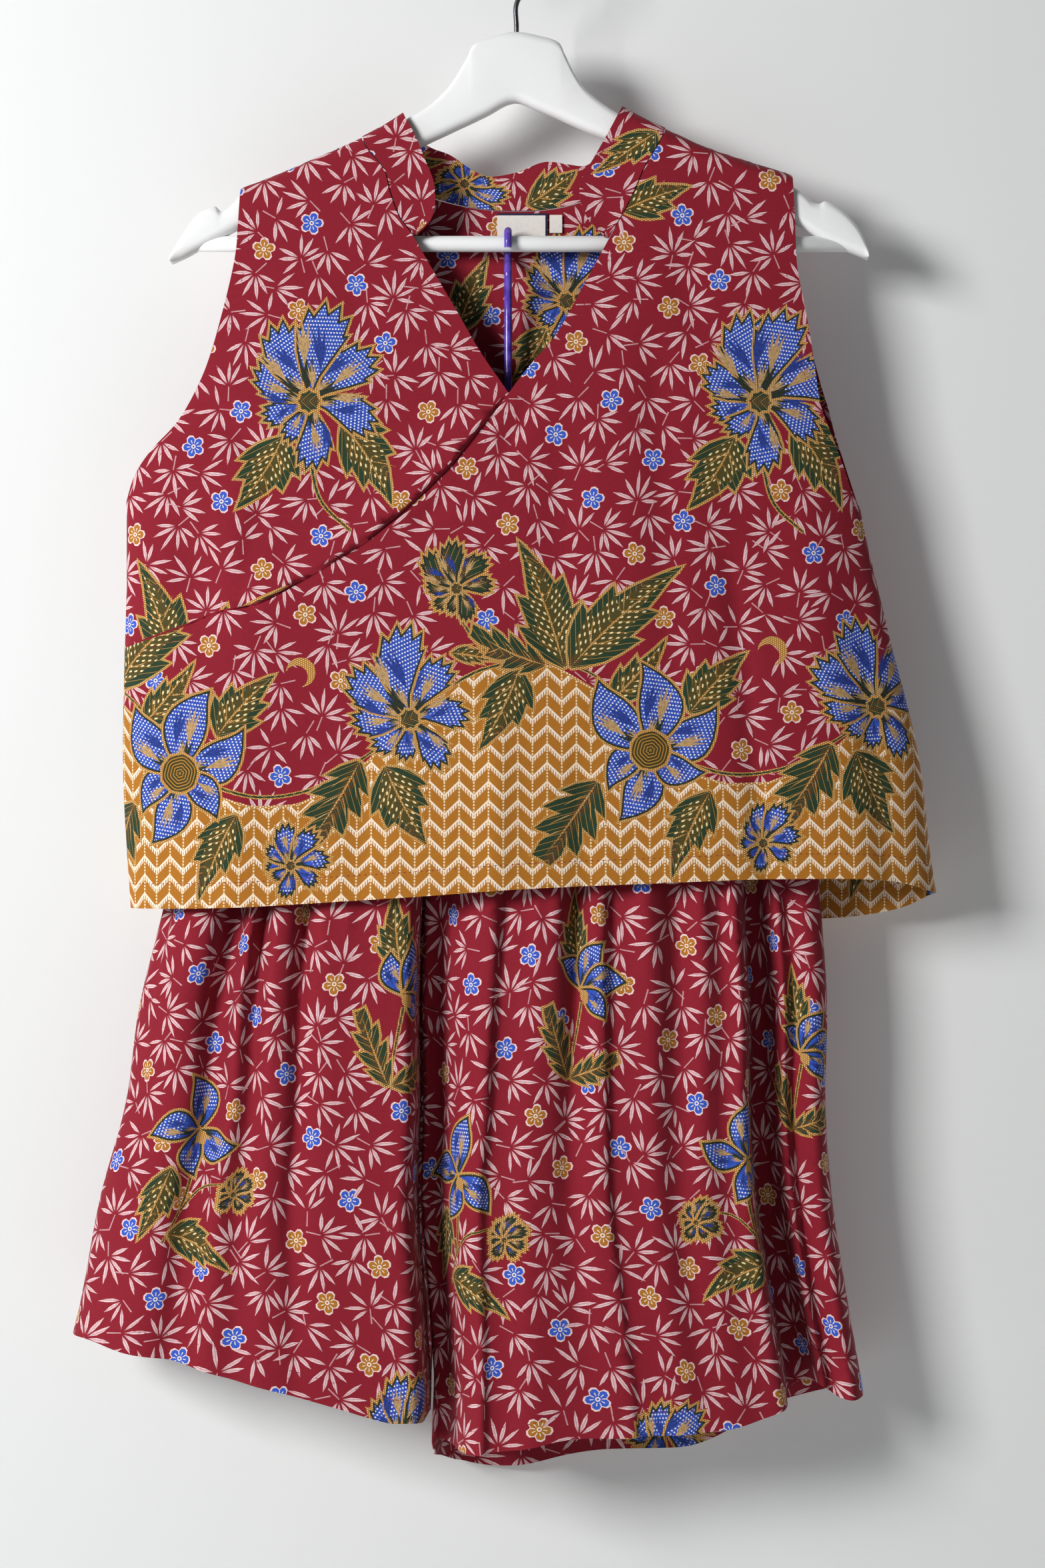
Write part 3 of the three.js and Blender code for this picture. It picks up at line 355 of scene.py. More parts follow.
class TopSurface:
    """The top's front or back. Flat cloth places are (across, drop), across measured along
    the cloth from x = 0."""

    DROPS = np.arange(96, 625, ROW_STEP)
    ANGLES = np.linspace(-math.pi / 2, math.pi / 2, 361)

    def __init__(self, side, lift=None):
        self.side = self.facing = side
        self.lift = lift
        self.pressed = []
        left, right = top_ring(self.DROPS)[:2]
        self.x = ((left + right) / 2)[:, None] + ((right - left) / 2)[:, None] * np.sin(self.ANGLES)
        depth = np.array([top_depth(x, drop, side) for x, drop in zip(self.x, self.DROPS)])
        step = np.hypot(np.diff(self.x, axis=1), np.diff(depth, axis=1))
        run = np.concatenate([np.zeros((len(step), 1)), np.cumsum(step, axis=1)], axis=1)
        middle = [np.interp(0, x, s) for x, s in zip(self.x, run)]
        self.run = run - np.array(middle)[:, None]

    def flat(self, pairs):
        """Flat cloth places of x, drop pairs."""
        pairs = np.asarray(pairs, float)
        row, share = row_of(self.DROPS, pairs[:, 1])
        result = []
        for (x, drop), j, part in zip(pairs, row, share):
            ends = [np.interp(x, self.x[k], self.run[k]) for k in (j, j + 1)]
            result.append([mix(*ends, part), drop])
        return np.array(result)

    def points(self, flat):
        """Points in space of flat cloth places."""
        across, drop = flat[:, 0], flat[:, 1]
        row, share = row_of(self.DROPS, drop)
        angle = np.zeros(len(flat))
        for j in np.unique(row):
            chosen = row == j
            ends = [np.interp(across[chosen], self.run[k], self.ANGLES) for k in (j, j + 1)]
            angle[chosen] = mix(*ends, share[chosen])
        left, right = top_ring(drop)[:2]
        x = (left + right) / 2 + (right - left) / 2 * np.sin(angle)
        depth = np.maximum(top_depth(x, drop, self.side), SEAM_GAP / 2)
        if self.lift is not None:
            depth = depth + self.lift(x, drop) * smooth(0.5, 3, depth)
        return np.column_stack([x, self.side * depth, -drop])


WRAP_BY_DROP = np.array(sorted((drop, x) for x, drop in WRAP_EDGE))
EDGE_SLANT = 0.72
BULGE_STEP, BULGE_WIDTH, BULGE_HEIGHT = 2, 18, 5
BULGE_START = (286, 304)
BULGE_END = (440, 404)


def from_wrap_edge(x, drop):
    """How far right of the over front's edge a place lies, square to the edge."""
    return (x - np.interp(drop, WRAP_BY_DROP[:, 0], WRAP_BY_DROP[:, 1])) * EDGE_SLANT


def over_lift(x, drop):
    """How far the over front stands off the under front."""
    return LAYER_LIFT * (1 - smooth(62, 125, x)) * smooth(0, 30, drop - ridge(x)[0])


def under_lift(x, drop):
    """How far the under front bulges out beside the over front's tight edge."""
    off = from_wrap_edge(x, drop)
    swell = np.exp(-((np.minimum(0, off + BULGE_STEP) / BULGE_WIDTH) ** 2))
    swell = swell * smooth(0, -BULGE_STEP, off)
    return BULGE_HEIGHT * swell * smooth(*BULGE_START, drop) * smooth(*BULGE_END, drop)


# The shorts' shape

shorts_ring = profile([
    # drop, left, right, front, back, square
    [420, -185, 173, 14, 13, 12],
    [456, -185, 173, 14, 13, 12],
    [520, -200, 180, 19, 18, 8],
    [603, -218, 186.3, 27, 25, 5],
    [662, -232.5, 190, 32, 28, 4],
    [722, -241, 189, 37, 31, 4],
    [780, -256.7, 193, 41, 34, 4],
    [840, -268, 202, 45, 37, 4],
    [900, -281, 212, 49, 39, 4],
    [960, -290, 219, 51, 40, 4],
])
FRONT_LEFT_FOLDS = [
    # x and inward at the top's hem, x and inward at the shorts' hem
    [-206, -2, -258, 0],
    [-192, -5, -236, -1.5],
    [-182, 1, -224, 0.5],
    [-174, 20, -212, 5],
    [-167, 18, -202, 4],
    [-160, 0, -188, -1],
    [-153, 14, -170, 0.5],
    [-145, -4, -154, -1.5],
    [-136, -2, -143, -1],
    [-128, 12, -134, 0],
    [-119, -4, -118, -1],
    [-95, -5, -94, -2],
    [-78, -6, -76, -3],
    [-65, -5.5, -62, -3.5],
    [-61.8, 2, -57.4, 3],
    [-60.2, 14, -55.2, 22],
]
FRONT_RIGHT_FOLDS = [
    [-55.6, 22, -49.6, 38],
    [-51, 23, -47, 40],
    [-45.5, 22, -42.5, 38],
    [-39.5, 13, -38, 27],
    [-31, 3, -33, 11],
    [-22, -3, -27, 1],
    [-13, -5, -21, -3],
    [-8, 1.5, -17, 0.5],
    [0, 1, -8, 1],
    [14, -5, 8, -3],
    [26, -3, 24, -1],
    [36, 12, 40, 0],
    [45, -4, 58, -2],
    [50, -5, 68, -2.5],
    [54, 2, 72, 0],
    [64, 1, 82, 0],
    [80, -5, 98, -2],
    [96, 8, 112, 0],
    [110, -4, 128, -1.5],
    [122, 3, 143, -1],
    [131, -5, 157, -3],
    [135.2, 3, 160.6, 4],
    [137.6, 20, 162.6, 26],
    [141.5, 28, 167, 42],
    [148, 27, 175, 41],
    [153, 15, 182, 28],
    [158, 6, 186, 15],
    [164, 12, 190.5, 18],
    [171, 4, 196, 9],
]
BACK_LEFT_FOLDS = [
    [-200, -2, -246, -2],
    [-180, 6, -216, 4],
    [-158, -2, -186, -3],
    [-136, 6, -160, 4],
    [-112, -3, -134, -3],
    [-88, 6, -108, 4],
    [-62, -2, -82, -3],
    [-44, 3, -64, 0],
]
BACK_RIGHT_FOLDS = [
    [-16, 3, -42, 0],
    [2, -2, -26, -3],
    [24, 6, 2, 4],
    [46, -3, 32, -3],
    [68, 6, 60, 4],
    [92, -3, 92, -3],
    [114, 6, 122, 4],
    [136, -3, 150, -3],
    [156, 5, 176, 4],
    [172, -2, 196, -1],
]
FRONT_SEAM = (-58.2, -52.4, 3)
BACK_SEAM = (-30, -52.4, 4)
front_hem_line = profile([
    [-290, 863], [-266, 863], [-242, 868], [-208.7, 872.6], [-158.5, 884.8], [-113.9, 896],
    [-77.2, 905.8], [-54.5, 908.8], [-50, 924.4], [-4.3, 923], [28.4, 916.6], [67, 915.2],
    [124, 911.4], [157, 901.6], [182, 892], [192.9, 898.8], [203.6, 900.8], [230, 897],
])
back_hem_line = profile([
    [-290, 863], [-208, 868], [-113.9, 889], [-54.5, 902], [-50, 940], [-30, 953.4],
    [-4.6, 954.4], [29.6, 949], [56.8, 943.6], [100, 943.4], [130, 930], [170, 908],
    [203, 899.6], [230, 897],
])
CLOTH_WALL = 1.2


def crossing(drop, x):
    """How far across the shorts a place lies, from 0 at their left edge to 1."""
    ring = shorts_ring(drop)
    return (x - ring[0]) / (ring[1] - ring[0])


def shorts_spot(upper_x, hem_x, upper_in, hem_in, drop, side):
    """Where a fold that is given at the top's hem and at the shorts' hem lies at a drop: x and
    the depth from the hanger's middle plane."""
    lower = np.clip((drop - UPPER_LEVEL) / (HEM_LEVEL - UPPER_LEVEL), 0, 1)
    share = mix(crossing(UPPER_LEVEL, upper_x), crossing(HEM_LEVEL, hem_x), lower)
    left, right, front, back, square = shorts_ring(drop)
    reach = np.minimum(1, np.abs(2 * share - 1))
    oval = np.sqrt(1 - reach**square) * (front if side < 0 else back)
    spread = smooth(GATHER_TOP, UPPER_LEVEL - 30, drop)
    inward = mix(np.clip(upper_in, -2, 2), mix(upper_in, hem_in, lower**0.7), spread)
    return mix(left, right, share), oval - inward


class ShortsSurface:
    """A quarter of the shorts. Flat cloth places are (across, drop), across measured along
    the cloth half way down from the centre seam."""

    SIDE_ROUND = [0, 2.2, 8]
    DROPS = np.arange(GATHER_TOP, 965, ROW_STEP)
    FINE = 6
    MEASURE_LEVEL = 760
    SEAM_FADE = 14
    RUFFLES_FADE = GATHER_TOP + 110
    EDGE_STEP = 6

    def __init__(self, side, hand, folds, seam, hem_line, seed):
        self.side, self.facing, self.hand = side, side, hand
        self.folds = folds
        self.seam = seam
        knots = np.array([self.knots(drop) for drop in self.DROPS])
        count = knots.shape[1]
        spots = np.linspace(0, count - 1, self.FINE * (count - 1) + 1)
        self.grid = smooth_line(knots, spots)
        level = self.grid[int((self.MEASURE_LEVEL - GATHER_TOP) / ROW_STEP)]
        run = run_along(level)
        self.run = run - (run[-1] if hand < 0 else 0)
        hem_x = self.grid[int((HEM_LEVEL - GATHER_TOP) / ROW_STEP), :, 0]
        self.hem = hem_line(hem_x)[0]
        self.ruffles = list(self.gathers(random.Random(seed)))

    def gathers(self, draw):
        """Small upright ruffles at uneven places: place, width, height and how far they reach."""
        spot = self.run[0] + 8
        while spot < self.run[-1] - 6:
            yield spot, draw.uniform(2.8, 4.6), draw.uniform(0.8, 2.4), draw.uniform(30, 130)
            spot += draw.uniform(9, 15)

    def knots(self, drop):
        """The quarter's section at one drop: its rounded side, its folds and the centre seam."""
        left, right, front, back, square = shorts_ring(drop)
        edge = left if self.hand < 0 else right
        depth = front if self.side < 0 else back
        sides = []
        for inset in self.SIDE_ROUND:
            x = edge - self.hand * inset
            reach = abs(2 * (x - left) / (right - left) - 1)
            oval = math.sqrt(max(0, 1 - reach**square)) * depth
            sides.append([x, self.side * max(oval, SEAM_GAP / 2)])
        folds = []
        for upper_x, upper_in, hem_x, hem_in in self.folds:
            x, fold_depth = shorts_spot(upper_x, hem_x, upper_in, hem_in, drop, self.side)
            folds.append([x, self.side * fold_depth])
        upper_x, hem_x, inward = self.seam
        middle_x, middle_depth = shorts_spot(upper_x, hem_x, inward, inward, drop, self.side)
        if self.side < 0:
            closing = smooth(GATHER_TOP, UPPER_LEVEL, drop)
        else:
            closing = smooth(CROTCH_START, CROTCH_END, drop)
        pinned = INSEAM_Y if self.side < 0 else INSEAM_Y + SEAM_GAP
        pitch = mix(SEAM_GAP, CLOTH_WALL + 3 * SEAM_GAP, min(1, closing * 6))
        seam = [middle_x + self.hand * pitch / 2, mix(self.side * middle_depth, pinned, closing)]
        return [*sides, *folds, seam] if self.hand < 0 else [seam, *folds, *sides[::-1]]

    def flat(self, pairs):
        """Flat cloth places of x, drop pairs."""
        result = []
        for x, drop in pairs:
            level = np.clip((drop - GATHER_TOP) / ROW_STEP, 0, len(self.DROPS) - 1)
            row = self.grid[int(level), :, 0]
            result.append([self.run[np.argmin(np.abs(row - x))], drop])
        return np.array(result)

    def points(self, flat):
        across, drop = flat[:, 0], flat[:, 1]
        i, u = column_of(self.run, across)
        j, v = row_of(self.DROPS, drop)
        v, g = v[:, None], self.grid
        upper = mix(g[j, i], g[j, i + 1], u)
        lower = mix(g[j + 1, i], g[j + 1, i + 1], u)
        spot = mix(upper, lower, v)
        near = g[j, np.maximum(i - 1, 0)]
        far = g[j, np.minimum(i + 2, len(self.run) - 1)]
        run = far - near
        run /= np.maximum(np.hypot(run[:, 0], run[:, 1]), 1e-6)[:, None]
        out = np.column_stack([run[:, 1], -run[:, 0]]) * (-self.side)
        inside = (smooth(0, self.SEAM_FADE, across - self.run[0])
                  * smooth(0, self.SEAM_FADE, self.run[-1] - across))
        wave = np.zeros(len(flat))
        for centre, width, height, reach in self.ruffles:
            fade = 1 - smooth(self.RUFFLES_FADE, self.RUFFLES_FADE + reach, drop)
            wave += height * np.exp(-(((across - centre) / width) ** 2)) * fade
        spot = spot + out * (wave * inside * smooth(GATHER_TOP, GATHER_TOP + 20, drop))[:, None]
        return np.column_stack([spot, -drop])

    def outline(self):
        top = np.column_stack([self.run, np.full(len(self.run), float(GATHER_TOP))])
        foot = np.column_stack([self.run, self.hem])
        left, right = (
            [[self.run[k], drop] for drop in np.arange(
                GATHER_TOP + self.EDGE_STEP, self.hem[k] - self.EDGE_STEP / 2, self.EDGE_STEP)]
            for k in (0, -1)
        )
        return np.vstack([top, right, foot[::-1], left[::-1]])


class BandSurface:
    """A band between two lines of points, such as the collar: (along, across) in its plane."""

    def __init__(self, first, second, height, facing, bulge=0.0, step=4):
        self.facing, self.height, self.bulge = facing, height, bulge
        count = len(first)
        spots = np.linspace(0, count - 1, step * (count - 1) + 1)
        self.first = smooth_line(np.array(first, float), spots)
        self.second = smooth_line(np.array(second, float), spots)
        self.run = run_along((self.first + self.second) / 2)

    def ruled(self, flat):
        i, u = column_of(self.run, flat[:, 0])
        v = (flat[:, 1] / self.height)[:, None]
        a = mix(self.first[i], self.first[i + 1], u)
        b = mix(self.second[i], self.second[i + 1], u)
        return mix(a, b, v)

    def points(self, flat):
        spot = self.ruled(flat)
        if self.bulge:
            out = surface_normals(self.ruled, flat) * self.facing
            v = np.clip(flat[:, 1:] / self.height, 0, 1)
            spot = spot + out * self.bulge * np.sin(math.pi * v)
        return spot

    def outline(self):
        length, height = self.run[-1], self.height
        across = np.linspace(0, height, max(3, int(height / 5)))
        run = np.linspace(0, length, max(3, int(length / 3)))
        return np.vstack([
            np.column_stack([run, np.zeros(len(run))]),
            np.column_stack([np.full(len(across) - 2, length), across[1:-1]]),
            np.column_stack([run[::-1], np.full(len(run), height)]),
            np.column_stack([np.zeros(len(across) - 2), across[-2:0:-1]]),
        ])


def column_of(run, across):
    """The column of a table of runs just before each place, and the share of the next one."""
    column = np.interp(across, run, np.arange(len(run)))
    before = np.minimum(column.astype(int), len(run) - 2)
    return before, (column - before)[:, None]


def surface_normals(points, flat):
    """Directions square to a surface, from places just beside each flat one."""
    beside = 0.6
    across = points(flat + [beside, 0]) - points(flat - [beside, 0])
    down = points(flat + [0, beside]) - points(flat - [0, beside])
    normal = np.cross(across, down)
    length = np.sqrt(np.sum(normal**2, axis=1, keepdims=True))
    return normal / np.maximum(length, 1e-9)


# The print's shapes, each drawn along its own axis and then placed on the flat cloth

ZONES = [
    "crimson_ground", "bamboo_white", "blossom_rim", "blossom_ochre", "blossom_blue",
    "border_chevron", "petal_blue", "petal_deep", "petal_sand", "petal_shade", "leaf_olive",
    "leaf_green", "ochre_beads", "flower_centre", "cream_beads", "sewing_thread",
    "label_white", "label_navy",
]


def unit(vectors):
    """Vectors with the same directions and a length of 1."""
    return vectors / np.maximum(np.hypot(vectors[:, 0], vectors[:, 1]), 1e-9)[:, None]


def toward(angle):
    return np.array([math.cos(angle), math.sin(angle)])


def turned(points, angle):
    c, s = toward(angle)
    return points @ np.array([[c, s], [-s, c]])


def grow(points, distance):
    """The shape with its edge moved outwards."""
    before = unit(points - np.roll(points, 1, axis=0))
    after = unit(np.roll(points, -1, axis=0) - points)
    x, y = points.T
    turn = np.sign(np.sum(x * np.roll(y, -1) - np.roll(x, -1) * y))
    middle = unit(before + after)
    out = np.column_stack([middle[:, 1], -middle[:, 0]]) * turn
    bend = np.sqrt(np.maximum(0.25, (1 + np.sum(before * after, axis=1)) / 2))
    return points + out * (distance / bend)[:, None]


def both_sides(u, middle, upper, lower):
    """A closed shape from its half widths above and below a middle line."""
    above = np.column_stack([u, middle + upper])
    below = np.column_stack([u, middle - lower])
    return np.vstack([above, below[-2:0:-1]])


def sides(length, half, bend=0.0):
    """A closed shape along an axis from its half width at even places."""
    t = np.linspace(0, 1, len(half))
    return both_sides(length * t, bend * length * t * t, half, half)


def lens(length, width, steps=4, belly=0.8, bend=0.0):
    t = np.linspace(0, 1, steps + 1)
    return sides(length, width / 2 * np.sin(math.pi * t**belly), bend)


def pointed_petal(length, width, bend):
    """A broad petal with a pointed tip that curls to one side."""
    t = np.linspace(0, 1, 12)
    half = width / 2 * np.sin(math.pi * t**1.15) ** 0.85
    middle = bend * length * (t**6 - 0.6 * t * (1 - t))
    return both_sides(length * t, middle, half * 1.1, half * 0.9)


def ragged_petal(length, spread, teeth, bend, notch=0.13):
    """A petal that widens from its foot to a round tip torn into small pointed teeth."""
    rows = [(0.04, -0.5), (0.26, -0.86), (0.5, -1.02), (0.74, -0.98)]
    for k in range(2 * teeth + 1):
        angle = 0.85 * (k / teeth - 1)
        rows.append((1 - 0.22 * angle * angle - (0 if k % 2 else notch), angle))
    rows += [(0.74, 0.98), (0.5, 1.02), (0.26, 0.86), (0.04, 0.5)]
    reach, angle = np.array(rows).T
    angle = angle * spread + bend * reach
    return length * np.column_stack([reach * np.cos(angle), reach * np.sin(angle)])


BARBED_EDGE = [
    # along, half width
    [0, 0.05], [0.07, 0.36], [0.18, 0.74], [0.3, 0.96], [0.44, 1.12], [0.41, 0.78], [0.52, 0.82],
    [0.66, 0.84], [0.62, 0.5], [0.74, 0.38], [0.86, 0.2], [0.95, 0.08],
]


def barbed_leaf(length, width, bend):
    """An oval leaf whose edge steps out in two pointed barbs on each side."""
    t, half = np.array(BARBED_EDGE).T
    sides_of_leaf = []
    for hand, shift in ((1, 0.0), (-1, -0.07)):
        moved = t + shift * np.sin(math.pi * t)
        middle = bend * length * moved**3
        sides_of_leaf.append(np.column_stack([length * moved, middle + hand * half * width / 2]))
    return np.vstack([sides_of_leaf[0], [[length, bend * length]], sides_of_leaf[1][::-1]])


def lobed_leaf(length, width, lobes, bend):
    """A leaf whose edge steps out in many pointed lobes."""
    rows = []
    for lobe in range(lobes):
        for part, reach, lead in ((0, 0.42, 0), (0.45, 0.75, 0.02), (0.8, 1, 0.09)):
            t = (lobe + part) / lobes
            full = math.sin(math.pi * min(1, 0.06 + t * 0.9) ** 0.85) ** 0.75
            rows.append((length * (t + lead), width / 2 * full * reach))
    u, half = np.array(rows).T
    half[0] = width * 0.05
    middle = bend * u * u / length
    upper = np.column_stack([u, middle + half])
    lower = np.column_stack([u, middle - half])
    return np.vstack([upper, [[length * 1.03, bend * length]], lower[::-1]])


def ring_shape(radius, count, waves=0, depth=0.0):
    """A circle, or a ring of round lobes."""
    angle = np.linspace(0, 2 * math.pi, count, endpoint=False)
    size = radius * (1 - depth * (1 - np.abs(np.cos(waves * angle / 2)) ** 0.7))
    return np.column_stack([size * np.cos(angle), size * np.sin(angle)])


# Petals of the flowers: way in degrees, reach as a share of the radius
RAGGED_PETALS = [(148, 0.55), (-166, 0.66), (4, 0.72), (112, 0.5), (72, 0.72), (-128, 0.95),
                 (-44, 0.88), (-88, 1.05)]
ROSETTE_PETALS = [(100, 0.86), (150, 0.66), (-140, 1.0), (-20, 0.95), (35, 0.7), (-82, 1.04)]
OPEN_PETALS = [(-92, 1.0), (-172, 0.86), (26, 0.92), (96, 0.74)]
FAN_PETALS = [(-122, 0.72), (-70, 0.95), (-20, 1.0), (30, 0.74)]


class Print:
    """The dyed shapes of one piece of cloth, in flat millimetres, in the order of printing."""

    CELL = 12
    GROUND_STEP = 22

    def __init__(self, seed, base="crimson_ground"):
        self.base = ZONES.index(base)
        self.shapes = []
        self.keep_clear = []
        self.taken = {}
        self.random = random.Random(seed)

    def put(self, zone, shape, place):
        """Keeps a shape with its own origin and direction."""
        self.shapes.append((ZONES.index(zone), shape, place))

    def add(self, zone, points, x, y, angle):
        self.put(zone, turned(points, angle) + (x, y), (x, y, *toward(angle)))

    def strip(self, zone, line, width, taper=0.0):
        """A drawn line of even or narrowing width."""
        line = along(line, 5)
        run = unit(np.gradient(line, axis=0))
        side = np.column_stack([-run[:, 1], run[:, 0]])
        size = np.linspace(1, 1 - taper, len(line))[:, None] * width / 2
        shape = np.vstack([line + side * size, (line - side * size)[::-1]])
        turn = math.atan2(line[-1][1] - line[0][1], line[-1][0] - line[0][0])
        self.put(zone, shape, (*line[0], math.cos(turn), math.sin(turn)))

    def cell(self, x, y):
        return int(x // self.CELL), int(y // self.CELL)

    def room(self, spots, reach=2.5):
        """Whether the spots keep clear of every leaf and blossom printed so far."""
        near = []
        cells = {self.cell(x + i * self.CELL, y + j * self.CELL)
                 for x, y in spots[[0, -1]] for i in (-1, 0, 1) for j in (-1, 0, 1)}
        for cell in cells:
            near.extend(self.taken.get(cell, ()))
        if not near:
            return True
        gaps = spots[:, None, :] - np.array(near)[None]
        return np.min(np.sum(gaps * gaps, axis=2)) > reach * reach

    def take(self, spots):
        for x, y in spots:
            self.taken.setdefault(self.cell(x, y), []).append((x, y))

    def bamboo(self, x, y):
        """A fan of narrow leaves on a thin jointed stalk, turned to where there is room."""
        draw = self.random
        tries, stalk, foot_gap = 6, 9, 2
        best = (0, None)
        for _ in range(tries):
            heading = draw.uniform(0, 2 * math.pi)
            foot = np.array([x, y]) - 5 * toward(heading)
            count = draw.choice([5, 5, 6, 7])
            spread = math.radians(draw.uniform(29, 33) * count)
            leaves = []
            for k in range(count):
                part = (k + 0.5) / count - 0.5
                angle = heading + spread * part + draw.uniform(-0.07, 0.07)
                length = draw.uniform(14.5, 17.5) * (1.1 - abs(part) * 0.5)
                spots = foot + toward(angle) * length * np.array([[0.4], [0.7], [1]])
                if self.room(spots):
                    leaves.append((angle, length, spots))
            if len(leaves) > best[0]:
                best = (len(leaves), (heading, foot, leaves))
        if best[0] < 2:
            return
        heading, foot, leaves = best[1]
        back = foot - toward(heading + 0.3) * stalk
        self.strip("bamboo_white", [back, foot], 0.7, 0.2)
        for angle, length, spots in leaves:
            bend = draw.uniform(-0.06, 0.06)
            leaf = lens(length - foot_gap, draw.uniform(2.1, 2.6), 3, 0.95, bend)
            self.add("bamboo_white", leaf + (foot_gap, 0), *foot, angle)
            self.take(spots)
        self.take([foot, back])

    def blossom(self, x, y, dye):
        turn = self.random.uniform(0, 6.28)
        for zone, radius in (("blossom_rim", 7.5), (dye, 6.4)):
            self.add(zone, ring_shape(radius, 20, 5, 0.36), x, y, turn)
        self.take([(x, y) + 5 * toward(a) for a in range(6)])

    def stem(self, line, width=2.8):
        self.strip("ochre_beads", line, width, 0.3)
        self.strip("leaf_green", line, width * 0.45, 0.3)

    def leaf(self, x, y, tip_x, tip_y, width, bend=0.1, dark=False):
        """A leaf from its foot to its tip: beaded rim and veins, dotted or feathered inside."""
        length = math.hypot(tip_x - x, tip_y - y)
        angle = math.atan2(tip_y - y, tip_x - x) - bend * 0.8
        if dark:
            shape = lobed_leaf(length, width, 4, bend)
        else:
            shape = barbed_leaf(length, width, bend)
        layers = [("ochre_beads", grow(shape, 1.6)), ("leaf_green", shape)]
        if not dark:
            inner = barbed_leaf(length * 0.86, width * 0.66, bend)
            layers.append(("leaf_olive", inner + (length * 0.05, 0)))
        layers.append(("ochre_beads", lens(length * 0.96, 1.2, 5, 0.6, bend)))
        for part in (0.16, 0.4, 0.62) if dark else (0.2, 0.5):
            u = length * part
            reach = width * 0.46 * math.sin(math.pi * (0.2 + 0.75 * part))
            for hand in (-1, 1):
                vein = turned(lens(reach * 1.15, 0.75, 3, bend=-0.15 * hand), hand * 0.75)
                layers.append(("ochre_beads", vein + (u, bend * u * u / length)))
        for zone, layer in layers:
            self.add(zone, layer, x, y, angle)
        for part in (0.3, 0.7):
            self.keep_clear.append((mix(x, tip_x, part), mix(y, tip_y, part), width * 0.35))

    def petal(self, x, y, angle, length, shape, dye):
        """One petal: beaded rim, dark line, dye, and brushed flames of sand and shade."""
        draw = self.random
        self.add("ochre_beads", grow(shape, 1.9), x, y, angle)
        self.add("petal_shade", grow(shape, 0.4), x, y, angle)
        self.add(dye, grow(shape, -0.8), x, y, angle)
        hand = draw.choice([-1, 1])
        for zone, reach, start, off, spread in (
            ("petal_shade", 0.42, 0.05, 0.02, 0.34), ("petal_deep", 0.5, 0.3, -0.1, 0.26),
            ("petal_sand", 0.5, 0.3, 0.06, 0.26), ("petal_sand", 0.3, 0.08, -0.03, 0.26),
        ):
            flame = ragged_petal(length * reach, spread, 3, 0.1 * hand, 0.4)
            flame = flame + (length * (start + draw.uniform(-0.03, 0.03)), length * off * hand)
            self.add(zone, flame, x, y, angle)

    def ragged_flower(self, x, y, radius, turn=0.0, dye="petal_blue"):
        """A flower of torn, uneven petals round a small dark star."""
        draw = self.random
        for way, reach in RAGGED_PETALS:
            length = radius * reach * draw.uniform(0.92, 1.06)
            shape = ragged_petal(length, 0.36, 4, draw.uniform(0.1, 0.4))
            self.petal(x, y, math.radians(way) + turn, length, shape, dye)
        self.add("ochre_beads", ring_shape(radius * 0.15, 24, 8, 0.36), x, y, turn)
        self.add("leaf_green", ring_shape(radius * 0.115, 24, 8, 0.45), x, y, turn)
        self.keep_clear.append((x, y, radius * 0.55))

    def pointed_petals(self, x, y, radius, turn, rows, vary, breadth, curl):
        draw = self.random
        for way, reach in rows:
            length = radius * reach * draw.uniform(1 - vary, 1 + vary)
            shape = pointed_petal(length, length * breadth, draw.choice([-1, 1]) * curl)
            self.petal(x, y, math.radians(way) + turn, length, shape, "petal_blue")
        self.keep_clear.append((x, y, radius * 0.6))

    def rosette_flower(self, x, y, radius, turn=0.0):
        """A flower of broad pointed petals round a brown rosette."""
        self.pointed_petals(x, y, radius, turn, ROSETTE_PETALS, 0.04, 0.52, 0.24)
        self.add("ochre_beads", ring_shape(radius * 0.27, 27, 9, 0.14), x, y, turn)
        self.add("flower_centre", ring_shape(radius * 0.235, 27, 9, 0.14), x, y, turn)

    def pointed_flower(self, x, y, radius, turn, rows):
        """A flower seen from one side, of a few broad pointed petals."""
        self.pointed_petals(x, y, radius, turn, rows, 0.05, 0.56, 0.22)
        self.add("ochre_beads", lens(radius * 0.3, radius * 0.22, 4), x, y, turn + 1)

    def crescent(self, x, y, angle, size):
        outer = np.array([toward(a) for a in np.linspace(-1.9, 1.9, 12)])
        inner = np.array([toward(a) * 0.78 - (0.42, 0) for a in np.linspace(1.9, -1.9, 10)])
        self.add("ochre_beads", np.vstack([outer, inner]) * size, x, y, angle)
        self.keep_clear.append((x, y, size * 1.1))

    def ground(self, outline, border=None):
        """Fans and small blossoms over the whole cloth, printed before the large flowers."""
        low, high = outline.min(axis=0), outline.max(axis=0)
        large, self.shapes = self.shapes, []
        draw = self.random
        step = self.GROUND_STEP
        sites = []
        row = 0
        y = low[1] - step
        while y < high[1] + step:
            x = low[0] - step + (row % 2) * step / 2
            column = 0
            while x < high[0] + step:
                px, py = x + draw.uniform(-4, 4), y + draw.uniform(-4, 4)
                blocked = any(
                    (px - cx) ** 2 + (py - cy) ** 2 < r * r for cx, cy, r in self.keep_clear
                )
                if border is not None and py > border(px) + 4:
                    blocked = True
                if not blocked:
                    sites.append((px, py, (column + 2 * row) % 5, row + column // 5))
                x += step
                column += 1
            y += step * 0.87
            row += 1
        for px, py, pick, kind in sites:
            if pick == 0:
                self.blossom(px, py, "blossom_blue" if kind % 2 else "blossom_ochre")
        for px, py, pick, kind in sites:
            if pick:
                self.bamboo(px, py)
        self.shapes += large

    def border_band(self, left, right, foot, phase, rise=lambda x: 0 * x):
        """The ochre chevron border with its wavy top, and the flowers that repeat along it.

        Places in it are measured from the first rosette's centre, and rise with the hem."""

